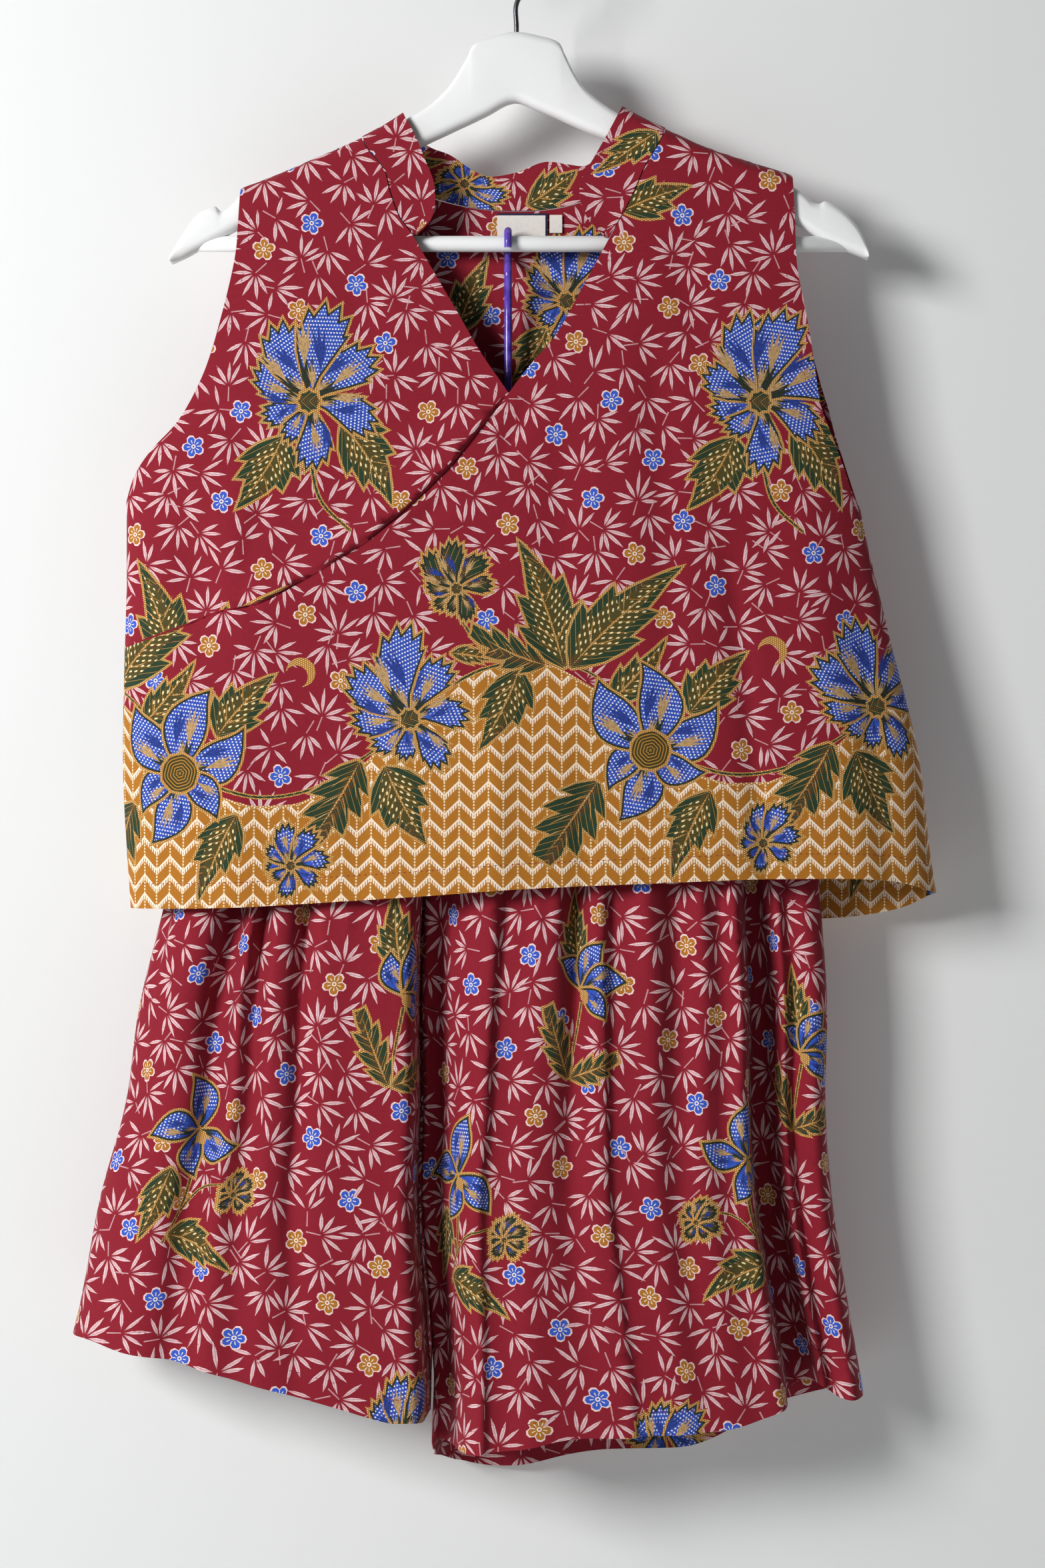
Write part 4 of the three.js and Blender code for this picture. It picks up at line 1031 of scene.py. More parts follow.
        def edge(x):
            along_repeat, level = np.array(BORDER_EDGE).T
            return BORDER_LEVEL + np.interp(x - phase, along_repeat, level, period=REPEAT) + rise(x)

        run = np.arange(left - 12, right + 12, 5.0)
        top = np.array([[x, edge(x)] for x in run])
        shape = np.vstack([top, [[run[-1], foot], [run[0], foot]]])
        self.put("border_chevron", shape, (0, 0, 1, 0))
        self.strip("cream_beads", top, 1.5)
        for turn in range(-2, 3):
            at = phase + turn * REPEAT
            if at < left - REPEAT or at > right + 60:
                continue

            def spot(x, y):
                return at + x, BORDER_LEVEL + y + float(rise(at + x))

            for line in BORDER_STEMS:
                self.stem([spot(x, y) for x, y in line])
            for x, y, tip_x, tip_y, width, bend, dark in BORDER_LEAVES:
                self.leaf(*spot(x, y), *spot(tip_x, tip_y), width, bend, bool(dark))
            self.ragged_flower(*spot(69, 58), 26, 0.3)
            self.ragged_flower(*spot(169, -103), 30, -0.4, "leaf_green")
            self.ragged_flower(*spot(141, -26), 52, -0.45)
            self.rosette_flower(*spot(0, 0), 50)
            self.crescent(*spot(75, -58), -0.8, 9)
        return edge


BORDER_LEVEL = 520
BORDER_EDGE = [
    # along the repeat, level
    [0, 4], [22, 14], [46, 22], [72, 22], [98, 12], [120, -6], [140, -26], [160, -42], [185, -54],
    [228, -53], [255, -36], [274, -10], [286, 4],
]
BORDER_STEMS = [
    [[14, 6], [50, 16], [84, 12], [112, -4], [136, -20]],
    [[150, -34], [182, -52], [214, -56], [246, -50], [272, -30]],
    [[172, -84], [184, -66], [206, -57]],
    [[96, 8], [92, 28], [78, 48]],
]
BORDER_LEAVES = [
    # foot x, foot y, tip x, tip y, width, bend, dark
    [24, -22, 58, -58, 28, 0.14, 0],
    [36, 26, 12, 76, 26, -0.12, 0],
    [110, -2, 82, 44, 34, 0.1, 1],
    [126, 2, 150, 50, 34, -0.1, 0],
    [207, -52, 184, -4, 28, 0.14, 0],
    [166, -64, 194, -58, 9, 0.1, 0],
    [234, -52, 208, -130, 36, -0.1, 0],
    [238, -52, 304, -112, 36, 0.12, 0],
    [222, -54, 180, -74, 22, 0.2, 1],
    [254, 18, 222, 62, 38, 0.06, 1],
    [262, -30, 296, -66, 20, -0.1, 0],
]


class Motif:
    """A motif's stems and leaves on a print, in its own places, which are scaled and may be
    mirrored."""

    def __init__(self, art, x, y, scale, hand):
        self.art, self.x, self.y, self.scale, self.hand = art, x, y, scale, hand

    def at(self, u, v):
        return self.x + self.hand * u * self.scale, self.y + v * self.scale

    def stem(self, *places, width=2.8):
        self.art.stem([self.at(*place) for place in places], width)

    def leaf(self, foot, tip, width, bend, dark=False):
        self.art.leaf(*self.at(*foot), *self.at(*tip), width * self.scale, bend, dark)


def sprig(art, x, y, radius, turn=0.0, hand=1):
    """A ragged flower on its curved stem, with two leaves."""
    motif = Motif(art, x, y, radius / 60, hand)
    motif.stem((0, 8), (2, 40), (8, 62), (26, 80), width=3.6 * motif.scale)
    motif.leaf((-16, 22), (-42, 66), 34, 0.2 * hand)
    motif.leaf((20, 14), (52, 62), 32, 0.2 * hand)
    art.ragged_flower(x, y, radius, turn)


def spray(art, x, y, radius, turn=0.0, hand=1):
    """A flower of four pointed petals on a curved stem, with a bud and two dotted leaves."""
    motif = Motif(art, x, y, radius / 36, hand)
    motif.stem((2, 20), (-1, 44), (-12, 68))
    motif.stem((-3, 50), (10, 35), (30, 31), width=2.2)
    motif.leaf((-14, 22), (-26, 66), 22, 0.12 * hand)
    motif.leaf((-9, 63), (36, 82), 22, 0.26 * hand)
    art.ragged_flower(*motif.at(36, 38), 16 * motif.scale, 0.8, "leaf_green")
    art.pointed_flower(x, y, radius, turn, OPEN_PETALS)


def fan(art, x, y, radius, turn=0.0, hand=1):
    """A flower of four pointed petals above two feathered leaves, with a dotted leaf over it."""
    motif = Motif(art, x, y, radius / 36, hand)
    motif.leaf((-2, -16), (-9, -62), 22, 0.16 * hand)
    motif.stem((0, 8), (-4, 28), (-9, 52))
    motif.leaf((-10, 56), (-27, 12), 20, 0.06, True)
    motif.leaf((-7, 56), (28, 44), 18, -0.06, True)
    art.pointed_flower(x, y, radius, turn, FAN_PETALS)


# Cloth pieces

# The cloth is cut into triangles a square tile at a time. Its points are welded when they are
# closer than WELD in a tile and SAME_PLACE between tiles.
TILE = 60
WELD = 1e-5
SAME_PLACE = 5e-4


def linked(name, data):
    """An object of the data, in the scene."""
    piece = bpy.data.objects.new(name, data)
    bpy.context.scene.collection.objects.link(piece)
    return piece


def clip(points, axis, limit, keep):
    """The part of a closed shape on one side of a line. keep is 1 for above it, -1 below."""
    result = []
    for a, b in zip(points, np.roll(points, -1, axis=0)):
        inside_a, inside_b = (a[axis] - limit) * keep >= 0, (b[axis] - limit) * keep >= 0
        if inside_a:
            result.append(a)
        if inside_a != inside_b:
            t = (limit - a[axis]) / (b[axis] - a[axis])
            spot = a + (b - a) * t
            spot[axis] = limit
            result.append(spot)
    return np.array(result).reshape(-1, 2)


def inside(shape, spots):
    """Whether each spot lies in a closed shape."""
    a, b = shape, np.roll(shape, -1, axis=0)
    x, y = spots[:, :1], spots[:, 1:]
    rise = b[:, 1] - a[:, 1]
    crossed = (a[:, 1] > y) != (b[:, 1] > y)
    at = a[:, 0] + (y - a[:, 1]) * (b[:, 0] - a[:, 0]) / np.where(rise == 0, 1, rise)
    return np.sum(crossed & (x < at), axis=1) % 2 == 1


def tile_mesh(square, cut, shapes, across, down):
    """Triangles of one square of the cloth, each with the last printed shape that covers it."""
    x0, y0, x1, y1 = square
    points, edges, printed = [], [], []
    for number, (shape, low, high) in [(-1, (cut, (x0, y0), (x1, y1))), *shapes]:
        if low[0] < x1 and high[0] > x0 and low[1] < y1 and high[1] > y0:
            start, count = len(points), len(shape)
            points.extend(Vector(p) for p in shape)
            edges.extend((start + k, start + (k + 1) % count) for k in range(count))
            printed.append((number, shape, low, high))
    margin = 1e-6
    xs = across[(across >= x0 - margin) & (across <= x1 + margin)]
    ys = down[(down >= y0 - margin) & (down <= y1 + margin)]
    points.extend(Vector((x, y)) for x in xs for y in ys)
    points.extend(Vector((x, y)) for x in (x0, x1) for y in ys)
    points.extend(Vector((x, y)) for x in xs for y in (y0, y1))
    made, _, triangles, *_ = delaunay_2d_cdt(points, edges, [], 0, WELD)
    made, triangles = np.array([p[:] for p in made], float), np.array(triangles)
    middle = made[triangles].mean(axis=1)
    kept = inside(cut, middle)
    middle, triangles = middle[kept], triangles[kept]
    owner = np.full(len(triangles), -1)
    for number, shape, low, high in printed[1:]:
        near = np.flatnonzero(np.all((middle > low) & (middle < high), axis=1))
        owner[near[inside(shape, middle[near])]] = number
    return made, triangles, owner


def cloth_piece(name, surface, outline, art, thickness, across, down, body_thick=None):
    """One piece of cloth with its print: the flat cloth cut into coloured triangles, laid on
    its surface and given a wall."""
    shapes = [
        (k, (shape, shape.min(axis=0), shape.max(axis=0)))
        for k, (_, shape, _) in enumerate(art.shapes)
    ]
    low, high = outline.min(axis=0), outline.max(axis=0)
    flat, triangles, owners = [], [], []
    total = 0
    for i in range(math.floor(low[0] / TILE), math.ceil(high[0] / TILE)):
        column = clip(clip(outline, 0, i * TILE, 1), 0, (i + 1) * TILE, -1)
        if len(column) < 3:
            continue
        for j in range(math.floor(low[1] / TILE), math.ceil(high[1] / TILE)):
            cut = clip(clip(column, 1, j * TILE, 1), 1, (j + 1) * TILE, -1)
            if len(cut) < 3 or abs(shape_area(cut)) < 0.05:
                continue
            square = (i * TILE, j * TILE, (i + 1) * TILE, (j + 1) * TILE)
            points, kept, owner = tile_mesh(square, cut, shapes, across, down)
            flat.append(points)
            triangles.append(kept + total)
            owners.append(owner)
            total += len(points)
    flat, triangles, owners = np.vstack(flat), np.vstack(triangles), np.concatenate(owners)
    cells = np.round(flat / SAME_PLACE).astype(np.int64)
    used, index = np.unique(cells, axis=0, return_inverse=True)
    places = np.zeros((len(used), 2))
    places[index.ravel()] = flat
    triangles = index.ravel()[triangles]
    whole = (
        (triangles[:, 0] != triangles[:, 1]) & (triangles[:, 1] != triangles[:, 2])
        & (triangles[:, 0] != triangles[:, 2])
    )
    triangles, owners = triangles[whole], owners[whole]
    alive, triangles = np.unique(triangles, return_inverse=True)
    triangles = triangles.reshape(-1, 3)
    places = places[alive]
    return shell(name, surface, places, triangles, owners, art, thickness, body_thick)


def shape_area(points):
    """The area in a closed shape, below 0 when it is drawn clockwise."""
    x, y = points.T
    return 0.5 * np.sum(x * np.roll(y, -1) - np.roll(x, -1) * y)


def shell(name, surface, places, triangles, owners, art, thickness, body_thick):
    """The cloth's two faces and its edge, from triangles on the flat cloth."""
    normals = surface_normals(surface.points, places) * surface.facing
    middle = surface.points(places)
    half = np.full(len(places), thickness / 2)
    if body_thick is not None:
        half = half + body_thick(places) / 2
    offset = normals * half[:, None]
    points = np.vstack([middle + offset, middle - offset]) * MM
    if surface.facing < 0:
        triangles = triangles[:, ::-1]
    count = len(places)
    directed = np.vstack([triangles[:, [0, 1]], triangles[:, [1, 2]], triangles[:, [2, 0]]])
    edges = np.sort(directed)
    code = edges[:, 0] * count + edges[:, 1]
    _, first, uses = np.unique(code, return_index=True, return_counts=True)
    open_edges = first[uses == 1]
    rim = directed[open_edges]
    rim_owner = np.tile(owners, 3)[open_edges]
    walls = np.column_stack([rim[:, 1], rim[:, 0], rim[:, 0] + count, rim[:, 1] + count])

    mesh = bpy.data.meshes.new(name)
    loops = np.concatenate([triangles.ravel(), (triangles[:, ::-1] + count).ravel(), walls.ravel()])
    sizes = np.concatenate([np.full(2 * len(triangles), 3), np.full(len(walls), 4)])
    starts = np.concatenate([[0], np.cumsum(sizes)[:-1]])
    mesh.vertices.add(len(points))
    mesh.vertices.foreach_set("co", points.astype(np.float32).ravel())
    mesh.loops.add(len(loops))
    mesh.loops.foreach_set("vertex_index", loops.astype(np.int32))
    mesh.polygons.add(len(sizes))
    mesh.polygons.foreach_set("loop_start", starts.astype(np.int32))
    mesh.polygons.foreach_set("loop_total", sizes.astype(np.int32))
    owner = np.concatenate([owners, owners, rim_owner])
    zone_of = np.array([zone for zone, _, _ in art.shapes] + [art.base])
    zones = zone_of[owner]
    present = np.unique(zones)
    slot_of = np.zeros(len(ZONES), int)
    slot_of[present] = np.arange(len(present))
    mesh.polygons.foreach_set("material_index", slot_of[zones].astype(np.int32))
    mesh.polygons.foreach_set("use_smooth", np.ones(len(sizes), bool))
    for zone in present:
        mesh.materials.append(dyes[ZONES[zone]])
    at = places[loops % count]
    frames = np.array([place for _, _, place in art.shapes] + [(0, 0, 1, 0)], float)
    own = frames[np.repeat(owner, sizes)]
    away = at - own[:, :2]
    local = np.column_stack([
        away[:, 0] * own[:, 2] + away[:, 1] * own[:, 3],
        away[:, 1] * own[:, 2] - away[:, 0] * own[:, 3],
    ])
    for layer, values in (("cloth", at), ("motif", local)):
        uv = mesh.uv_layers.new(name=layer)
        uv.uv.foreach_set("vector", values.astype(np.float32).ravel())
    mesh.update(calc_edges=True)
    mesh.validate()
    both = np.vstack([normals, -normals])
    corner = both[loops]
    corner[6 * len(triangles):] = 0
    mesh.normals_split_custom_set([tuple(n) for n in corner.astype(float)])
    return linked(name, mesh)


def hem_fold(lines):
    """Extra thickness where the edge is turned under and sewn, within its width of a line."""

    def thick(places):
        extra = np.zeros(len(places))
        for line, width, height in lines:
            line = np.asarray(line, float)
            best = np.full(len(places), np.inf)
            for p, q in zip(line[:-1], line[1:]):
                run = q - p
                t = np.clip(((places - p) @ run) / max(run @ run, 1e-9), 0, 1)
                best = np.minimum(best, np.hypot(*(places - p - t[:, None] * run).T))
            extra = np.maximum(extra, height * (1 - smooth(width - 1.5, width, best)))
            extra -= 0.35 * np.exp(-(((best - width + 1.5) / 0.9) ** 2))
        return np.maximum(extra, -0.3)

    return thick


def stitches(art, line, inset, side):
    """A row of stitches beside an edge line."""
    line = along(line, 3.4)
    run = unit(np.gradient(line, axis=0))
    out = np.column_stack([-run[:, 1], run[:, 0]]) * side * inset
    for spot, way in zip(line[1:-1] + out[1:-1], run[1:-1]):
        dash = sides(2.1, np.array([0, 0.24, 0.24, 0]))
        art.add("sewing_thread", dash, *spot, math.atan2(way[1], way[0]))


def spaced(low, high, step):
    """Whole multiples of a step from just below the low end to past the high one."""
    return np.arange(math.floor(low / step) * step, high + step, step)


# Materials


class Recipe:
    """Builds one material's nodes."""

    def __init__(self, name, colour, roughness, specular=0.3):
        self.material = bpy.data.materials.new(name)
        self.material.use_nodes = True
        self.material.diffuse_color = (*colour, 1)
        self.tree = self.material.node_tree
        self.shader = self.tree.nodes["Principled BSDF"]
        self.shader.inputs["Base Color"].default_value = (*colour, 1)
        self.shader.inputs["Roughness"].default_value = roughness
        self.shader.inputs["Specular IOR Level"].default_value = specular

    def node(self, kind, **settings):
        node = self.tree.nodes.new(kind)
        for name, value in settings.items():
            setattr(node, name, value)
        return node

    def feed(self, socket, value):
        if isinstance(value, bpy.types.NodeSocket):
            self.tree.links.new(value, socket)
        elif isinstance(value, tuple) and len(value) == 3 and socket.type == "RGBA":
            socket.default_value = (*value, 1)
        else:
            socket.default_value = value

    def math(self, operation, *values, clamp=False):
        node = self.node("ShaderNodeMath", operation=operation, use_clamp=clamp)
        for socket, value in zip(node.inputs, values):
            self.feed(socket, value)
        return node.outputs[0]

    def blend(self, share, a, b, kind="MIX"):
        node = self.node("ShaderNodeMix", data_type="RGBA", blend_type=kind)
        self.feed(node.inputs["Factor"], share)
        self.feed(node.inputs[6], a)
        self.feed(node.inputs[7], b)
        return node.outputs[2]

    def places(self, layer):
        """The two coordinates of a map, in millimetres."""
        node = self.node("ShaderNodeUVMap", uv_map=layer)
        split = self.node("ShaderNodeSeparateXYZ")
        self.feed(split.inputs[0], node.outputs[0])
        return split.outputs[0], split.outputs[1]

    def point(self, x, y):
        node = self.node("ShaderNodeCombineXYZ")
        self.feed(node.inputs[0], x)
        self.feed(node.inputs[1], y)
        return node.outputs[0]

    def noise(self, vector, scale, detail=3):
        node = self.node("ShaderNodeTexNoise")
        self.feed(node.inputs["Vector"], vector)
        node.inputs["Scale"].default_value = scale
        node.inputs["Detail"].default_value = detail
        return node.outputs["Fac"]

    def ramp(self, value, start, end):
        node = self.node("ShaderNodeMapRange", interpolation_type="SMOOTHSTEP")
        self.feed(node.inputs["Value"], value)
        node.inputs["From Min"].default_value = start
        node.inputs["From Max"].default_value = end
        return node.outputs["Result"]

    def times(self, a, b):
        return self.math("MULTIPLY", a, b)

    def plus(self, a, b):
        return self.math("ADD", a, b)

    def wave(self, value, rate):
        return self.math("SINE", self.times(value, rate))

    def saw(self, value, pitch):
        """The share of a pitch that a value is into it."""
        return self.math("FRACT", self.math("DIVIDE", value, pitch))

    def window(self, value, opens, open_by, closes_from, closed):
        return self.times(self.ramp(value, opens, open_by), self.ramp(value, closed, closes_from))

    def reach(self, u, v):
        return self.math("SQRT", self.plus(self.times(u, u), self.times(v, v)))

    def object_place(self):
        return self.node("ShaderNodeTexCoord").outputs["Object"]

    def lattice(self, u, v, pitch_u, pitch_v, radius, soft=0.12):
        """Dots in staggered rows: 1 on a dot and 0 between them."""
        row = self.math("DIVIDE", u, pitch_u)
        shift = self.times(self.math("FLOOR", row), 0.5)
        column = self.plus(self.math("DIVIDE", v, pitch_v), shift)
        du, dv = (
            self.times(self.math("SUBTRACT", self.math("FRACT", place), 0.5), pitch)
            for place, pitch in ((row, pitch_u), (column, pitch_v))
        )
        return self.ramp(self.reach(du, dv), radius + soft, radius - soft)

    def bump(self, height, distance, strength):
        node = self.node("ShaderNodeBump")
        self.feed(node.inputs["Height"], height)
        node.inputs["Distance"].default_value = distance
        node.inputs["Strength"].default_value = strength
        self.feed(self.shader.inputs["Normal"], node.outputs[0])

    def finish(self, paint, uneven, gain, base, height, distance, strength):
        """Feeds the shader its colour, a roughness of gain * uneven + base and its relief."""
        self.feed(self.shader.inputs["Base Color"], paint)
        self.feed(self.shader.inputs["Roughness"], self.plus(self.times(uneven, gain), base))
        self.bump(height, distance, strength)
        return self.material


def cotton(name, colour, pattern=None):
    """Dyed plain-weave cotton: a thread weave, slubs, faded dye and a soft sheen."""
    thread_pitch, slub_stretch = 0.42, 0.12
    recipe = Recipe(name, colour, 0.82, 0.22)
    u, v = recipe.places("cloth")
    paint = pattern(recipe, colour) if pattern else colour
    rate = 2 * math.pi / thread_pitch
    weave = recipe.times(recipe.wave(u, rate), recipe.wave(v, rate))
    slub_across = recipe.noise(recipe.point(recipe.times(u, slub_stretch), v), 1.6, 2)
    slub_down = recipe.noise(recipe.point(u, recipe.times(v, slub_stretch)), 1.6, 2)
    slubs = recipe.plus(slub_across, slub_down)
    fade = recipe.ramp(recipe.noise(recipe.point(u, v), 0.045, 4), 0.3, 0.75)
    paint = recipe.blend(recipe.times(fade, 0.16), paint, (0.9, 0.72, 0.7), "MULTIPLY")
    paint = recipe.blend(recipe.ramp(slubs, 0.85, 1.3), paint, (0.93, 0.9, 0.9), "MULTIPLY")
    recipe.shader.inputs["Sheen Weight"].default_value = 0.05
    recipe.shader.inputs["Sheen Roughness"].default_value = 0.45
    height = recipe.plus(recipe.times(weave, 0.35), slubs)
    return recipe.finish(paint, slubs, 0.08, 0.76, height, 0.00012, 0.5)


def linear(*values):
    """Colour values from 0 to 255 as a screen shows them, made linear."""
    return tuple(
        v / 255 / 12.92 if v <= 10 else ((v / 255 + 0.055) / 1.055) ** 2.4 for v in values
    )


def crackle(recipe, paint, cracks, share):
    """Fine cracks where dye ran through the wax."""
    node = recipe.node("ShaderNodeTexVoronoi", feature="DISTANCE_TO_EDGE")
    recipe.feed(node.inputs["Vector"], recipe.point(*recipe.places("cloth")))
    node.inputs["Scale"].default_value = 0.8
    lines = recipe.ramp(node.outputs["Distance"], 0.09, 0.02)
    return recipe.blend(recipe.times(lines, share), paint, cracks)


def bamboo_pattern(recipe, colour):
    """A midrib, combed side veins and cracks in the ground's red."""
    u, v = recipe.places("motif")
    wide = recipe.math("ABSOLUTE", v)
    comb = recipe.saw(recipe.plus(u, recipe.times(wide, 1.6)), 1.25)
    veins = recipe.times(recipe.ramp(comb, 0.25, 0.1), 0.35)
    midrib = recipe.times(recipe.ramp(wide, 0.26, 0.12), 0.6)
    red = linear(160, 40, 66)
    paint = recipe.blend(midrib, recipe.blend(veins, colour, red), red)
    return crackle(recipe, paint, red, 0.3)


def blossom_pattern(recipe, colour):
    """White stamens round a small white ring."""
    u, v = recipe.places("motif")
    reach = recipe.reach(u, v)
    rays = recipe.math("COSINE", recipe.times(recipe.math("ARCTAN2", v, u), 10))
    stamens = recipe.times(recipe.ramp(rays, 0.5, 0.9), recipe.window(reach, 1.9, 2.3, 3.8, 4.4))
    ring = recipe.window(reach, 0.5, 0.8, 1.2, 1.5)
    white = linear(240, 228, 214)
    return recipe.blend(ring, recipe.blend(stamens, colour, white), white)


def petal_pattern(recipe, colour):
    """Brushed deeper blue, with white dots on the outer part."""
    u, v = recipe.places("motif")
    dots = recipe.times(recipe.lattice(u, v, 2.3, 1.8, 0.5), recipe.ramp(u, 10, 16))
    run = recipe.noise(recipe.point(recipe.times(u, 0.25), v), 0.9, 2)
    deep = recipe.blend(recipe.ramp(run, 0.35, 0.7), colour, linear(42, 64, 150))
    return recipe.blend(dots, deep, linear(232, 232, 240))


def sand_pattern(recipe, colour):
    """Lengthwise streaks of half the colour."""
    u, v = recipe.places("motif")
    grain = recipe.noise(recipe.point(recipe.times(u, 0.2), v), 2.2, 2)
    darker = tuple(0.5 * channel for channel in colour)
    return recipe.blend(recipe.ramp(grain, 0.45, 0.62), colour, darker)


def slanted(recipe, slope):
    """A place along a leaf's slanting side veins, and the distance from its midrib."""
    u, v = recipe.places("motif")
    wide = recipe.math("ABSOLUTE", v)
    return recipe.math("SUBTRACT", u, recipe.times(wide, slope)), wide


def olive_pattern(recipe, colour):
    """Rows of pale dots between slanting veins."""
    slant, wide = slanted(recipe, 0.9)
    dots = recipe.times(recipe.lattice(slant, wide, 4.2, 3.3, 0.8), recipe.ramp(wide, 1.0, 2.0))
    veins = recipe.times(recipe.ramp(recipe.saw(slant, 9.0), 0.1, 0.05), 0.7)
    paint = recipe.blend(veins, colour, linear(170, 120, 50))
    return recipe.blend(dots, paint, linear(238, 222, 168))


def green_pattern(recipe, colour):
    """Slanting veins with rust feathers near the midrib."""
    slant, wide = slanted(recipe, 1.1)
    feather = recipe.ramp(recipe.saw(slant, 1.7), 0.35, 0.1)
    rust = recipe.times(feather, recipe.ramp(wide, 5, 1))
    paint = recipe.blend(rust, colour, linear(150, 78, 32))
    return recipe.blend(recipe.ramp(recipe.saw(slant, 5.0), 0.09, 0.04), paint,
                        linear(196, 142, 62))


def bead_pattern(recipe, colour):
    """Fine pale beads over the whole line."""
    dots = recipe.lattice(*recipe.places("cloth"), 1.25, 1.25, 0.34, 0.1)
    return recipe.blend(recipe.times(dots, 0.75), colour, linear(240, 224, 170))


def centre_pattern(recipe, colour):
    """Wavy rings round the rosette's centre."""
    u, v = recipe.places("motif")
    ripple = recipe.times(recipe.wave(recipe.math("ARCTAN2", v, u), 6), 0.9)
    rings = recipe.math("SINE", recipe.plus(recipe.times(recipe.reach(u, v), 3.4), ripple))
    return recipe.blend(recipe.ramp(rings, 0.1, 0.6), colour, linear(172, 126, 52))


def chevron_pattern(recipe, colour):
    """Feathered chevrons in columns, with a line of beads where the columns meet."""
    column_width, chevron_pitch, feather_pitch, bead_pitch = 17.7, 11.3, 1.45, 1.9
    u, v = recipe.places("cloth")
    swing = recipe.math("ABSOLUTE", recipe.math("SUBTRACT", recipe.saw(u, column_width), 0.5))
    level = recipe.plus(recipe.math("DIVIDE", v, chevron_pitch), recipe.times(swing, 1.5))
    phase = recipe.math("FRACT", level)
    feather = recipe.ramp(recipe.wave(u, 2 * math.pi / feather_pitch), -0.55, 0.0)
    fringe = recipe.times(feather, recipe.window(phase, 0.08, 0.16, 0.36, 0.46))
    spine = recipe.window(phase, 0.06, 0.1, 0.18, 0.22)
    near = recipe.math("MINIMUM", swing, recipe.math("SUBTRACT", 0.5, swing))
    near = recipe.ramp(recipe.times(near, column_width), 0.6, 0.35)
    beads = recipe.times(near, recipe.ramp(recipe.saw(v, bead_pitch), 0.7, 0.55))
    paint = recipe.blend(recipe.math("MAXIMUM", fringe, spine), colour, linear(244, 228, 206))
    return recipe.blend(beads, paint, linear(240, 218, 176))


def thread_pattern(recipe, colour):
    """The twist of a sewing thread."""
    twist = recipe.wave(recipe.plus(*recipe.places("motif")), 9)
    return recipe.blend(recipe.ramp(twist, -0.2, 0.9), colour, linear(150, 34, 60))


def cream_pattern(recipe, colour):
    """Close cream beads on ochre."""
    dots = recipe.lattice(*recipe.places("cloth"), 1.7, 1.7, 0.6, 0.12)
    return recipe.blend(dots, linear(176, 116, 34), colour)


dyes = {}


def make_dyes(settings):
    """Every dye and thread of the two garments."""
    crimson, ochre, blue = (tuple(c) for c in (settings.crimson, settings.ochre, settings.blue))
    for name, colour, pattern in (
        ("crimson_ground", crimson, None),
        ("bamboo_white", linear(232, 204, 206), bamboo_pattern),
        ("blossom_rim", linear(236, 208, 206), None),
        ("blossom_ochre", ochre, blossom_pattern),
        ("blossom_blue", blue, blossom_pattern),
        ("border_chevron", ochre, chevron_pattern),
        ("petal_blue", blue, petal_pattern),
        ("petal_deep", linear(44, 66, 150), sand_pattern),
        ("petal_sand", linear(196, 160, 110), sand_pattern),
        ("petal_shade", linear(44, 52, 40), sand_pattern),
        ("leaf_olive", linear(78, 70, 32), olive_pattern),
        ("leaf_green", linear(38, 60, 40), green_pattern),
        ("ochre_beads", linear(172, 116, 40), bead_pattern),
        ("flower_centre", linear(62, 56, 26), centre_pattern),
        ("cream_beads", linear(240, 220, 180), cream_pattern),
        ("sewing_thread", linear(118, 24, 46), thread_pattern),
        ("label_white", linear(232, 228, 222), None),
        ("label_navy", linear(38, 38, 66), None),
    ):
        dyes[name] = cotton(name, colour, pattern)


def white_paint():
    """Satin white paint on wood: faint brush drag, a little handling dirt and soft gloss."""
    recipe = Recipe("satin_white_paint", linear(236, 236, 236), 0.4, 0.45)
    spot = recipe.object_place()
    split = recipe.node("ShaderNodeSeparateXYZ")
    recipe.feed(split.inputs[0], spot)
    drag = recipe.node("ShaderNodeCombineXYZ")
    recipe.feed(drag.inputs[0], recipe.times(split.outputs[0], 0.06))
    recipe.feed(drag.inputs[1], split.outputs[1])
    recipe.feed(drag.inputs[2], split.outputs[2])
    brush = recipe.noise(drag.outputs[0], 420, 3)
    marks = recipe.times(recipe.ramp(recipe.noise(spot, 26, 4), 0.5, 0.8), 0.3)
    paint = recipe.blend(marks, linear(238, 238, 238), linear(214, 212, 206))
    return recipe.finish(paint, brush, 0.2, 0.3, brush, 0.0002, 0.35)


def hook_steel():
    """Dark drawn steel with fine lengthwise scratches."""
    recipe = Recipe("drawn_steel", linear(96, 96, 100), 0.35, 0.5)
    recipe.shader.inputs["Metallic"].default_value = 1.0
    spot = recipe.object_place()
    scratch = recipe.noise(spot, 900, 2)
    tarnish = recipe.ramp(recipe.noise(spot, 60, 3), 0.4, 0.7)
    paint = recipe.blend(tarnish, linear(104, 104, 108), linear(62, 60, 60))
    return recipe.finish(paint, scratch, 0.3, 0.2, scratch, 0.00004, 0.3)


def wire_coat(colour):
    """Glossy plastic coat over wire, with slight waves from dipping."""
    recipe = Recipe("dipped_purple_coat", colour, 0.2, 0.5)
    spot = recipe.object_place()
    wave = recipe.noise(spot, 140, 2)
    rub = recipe.noise(spot, 420, 3)
    paint = recipe.blend(recipe.ramp(wave, 0.35, 0.7), colour, linear(70, 44, 150))
    return recipe.finish(paint, rub, 0.18, 0.12, wave, 0.0003, 0.3)


# Hangers

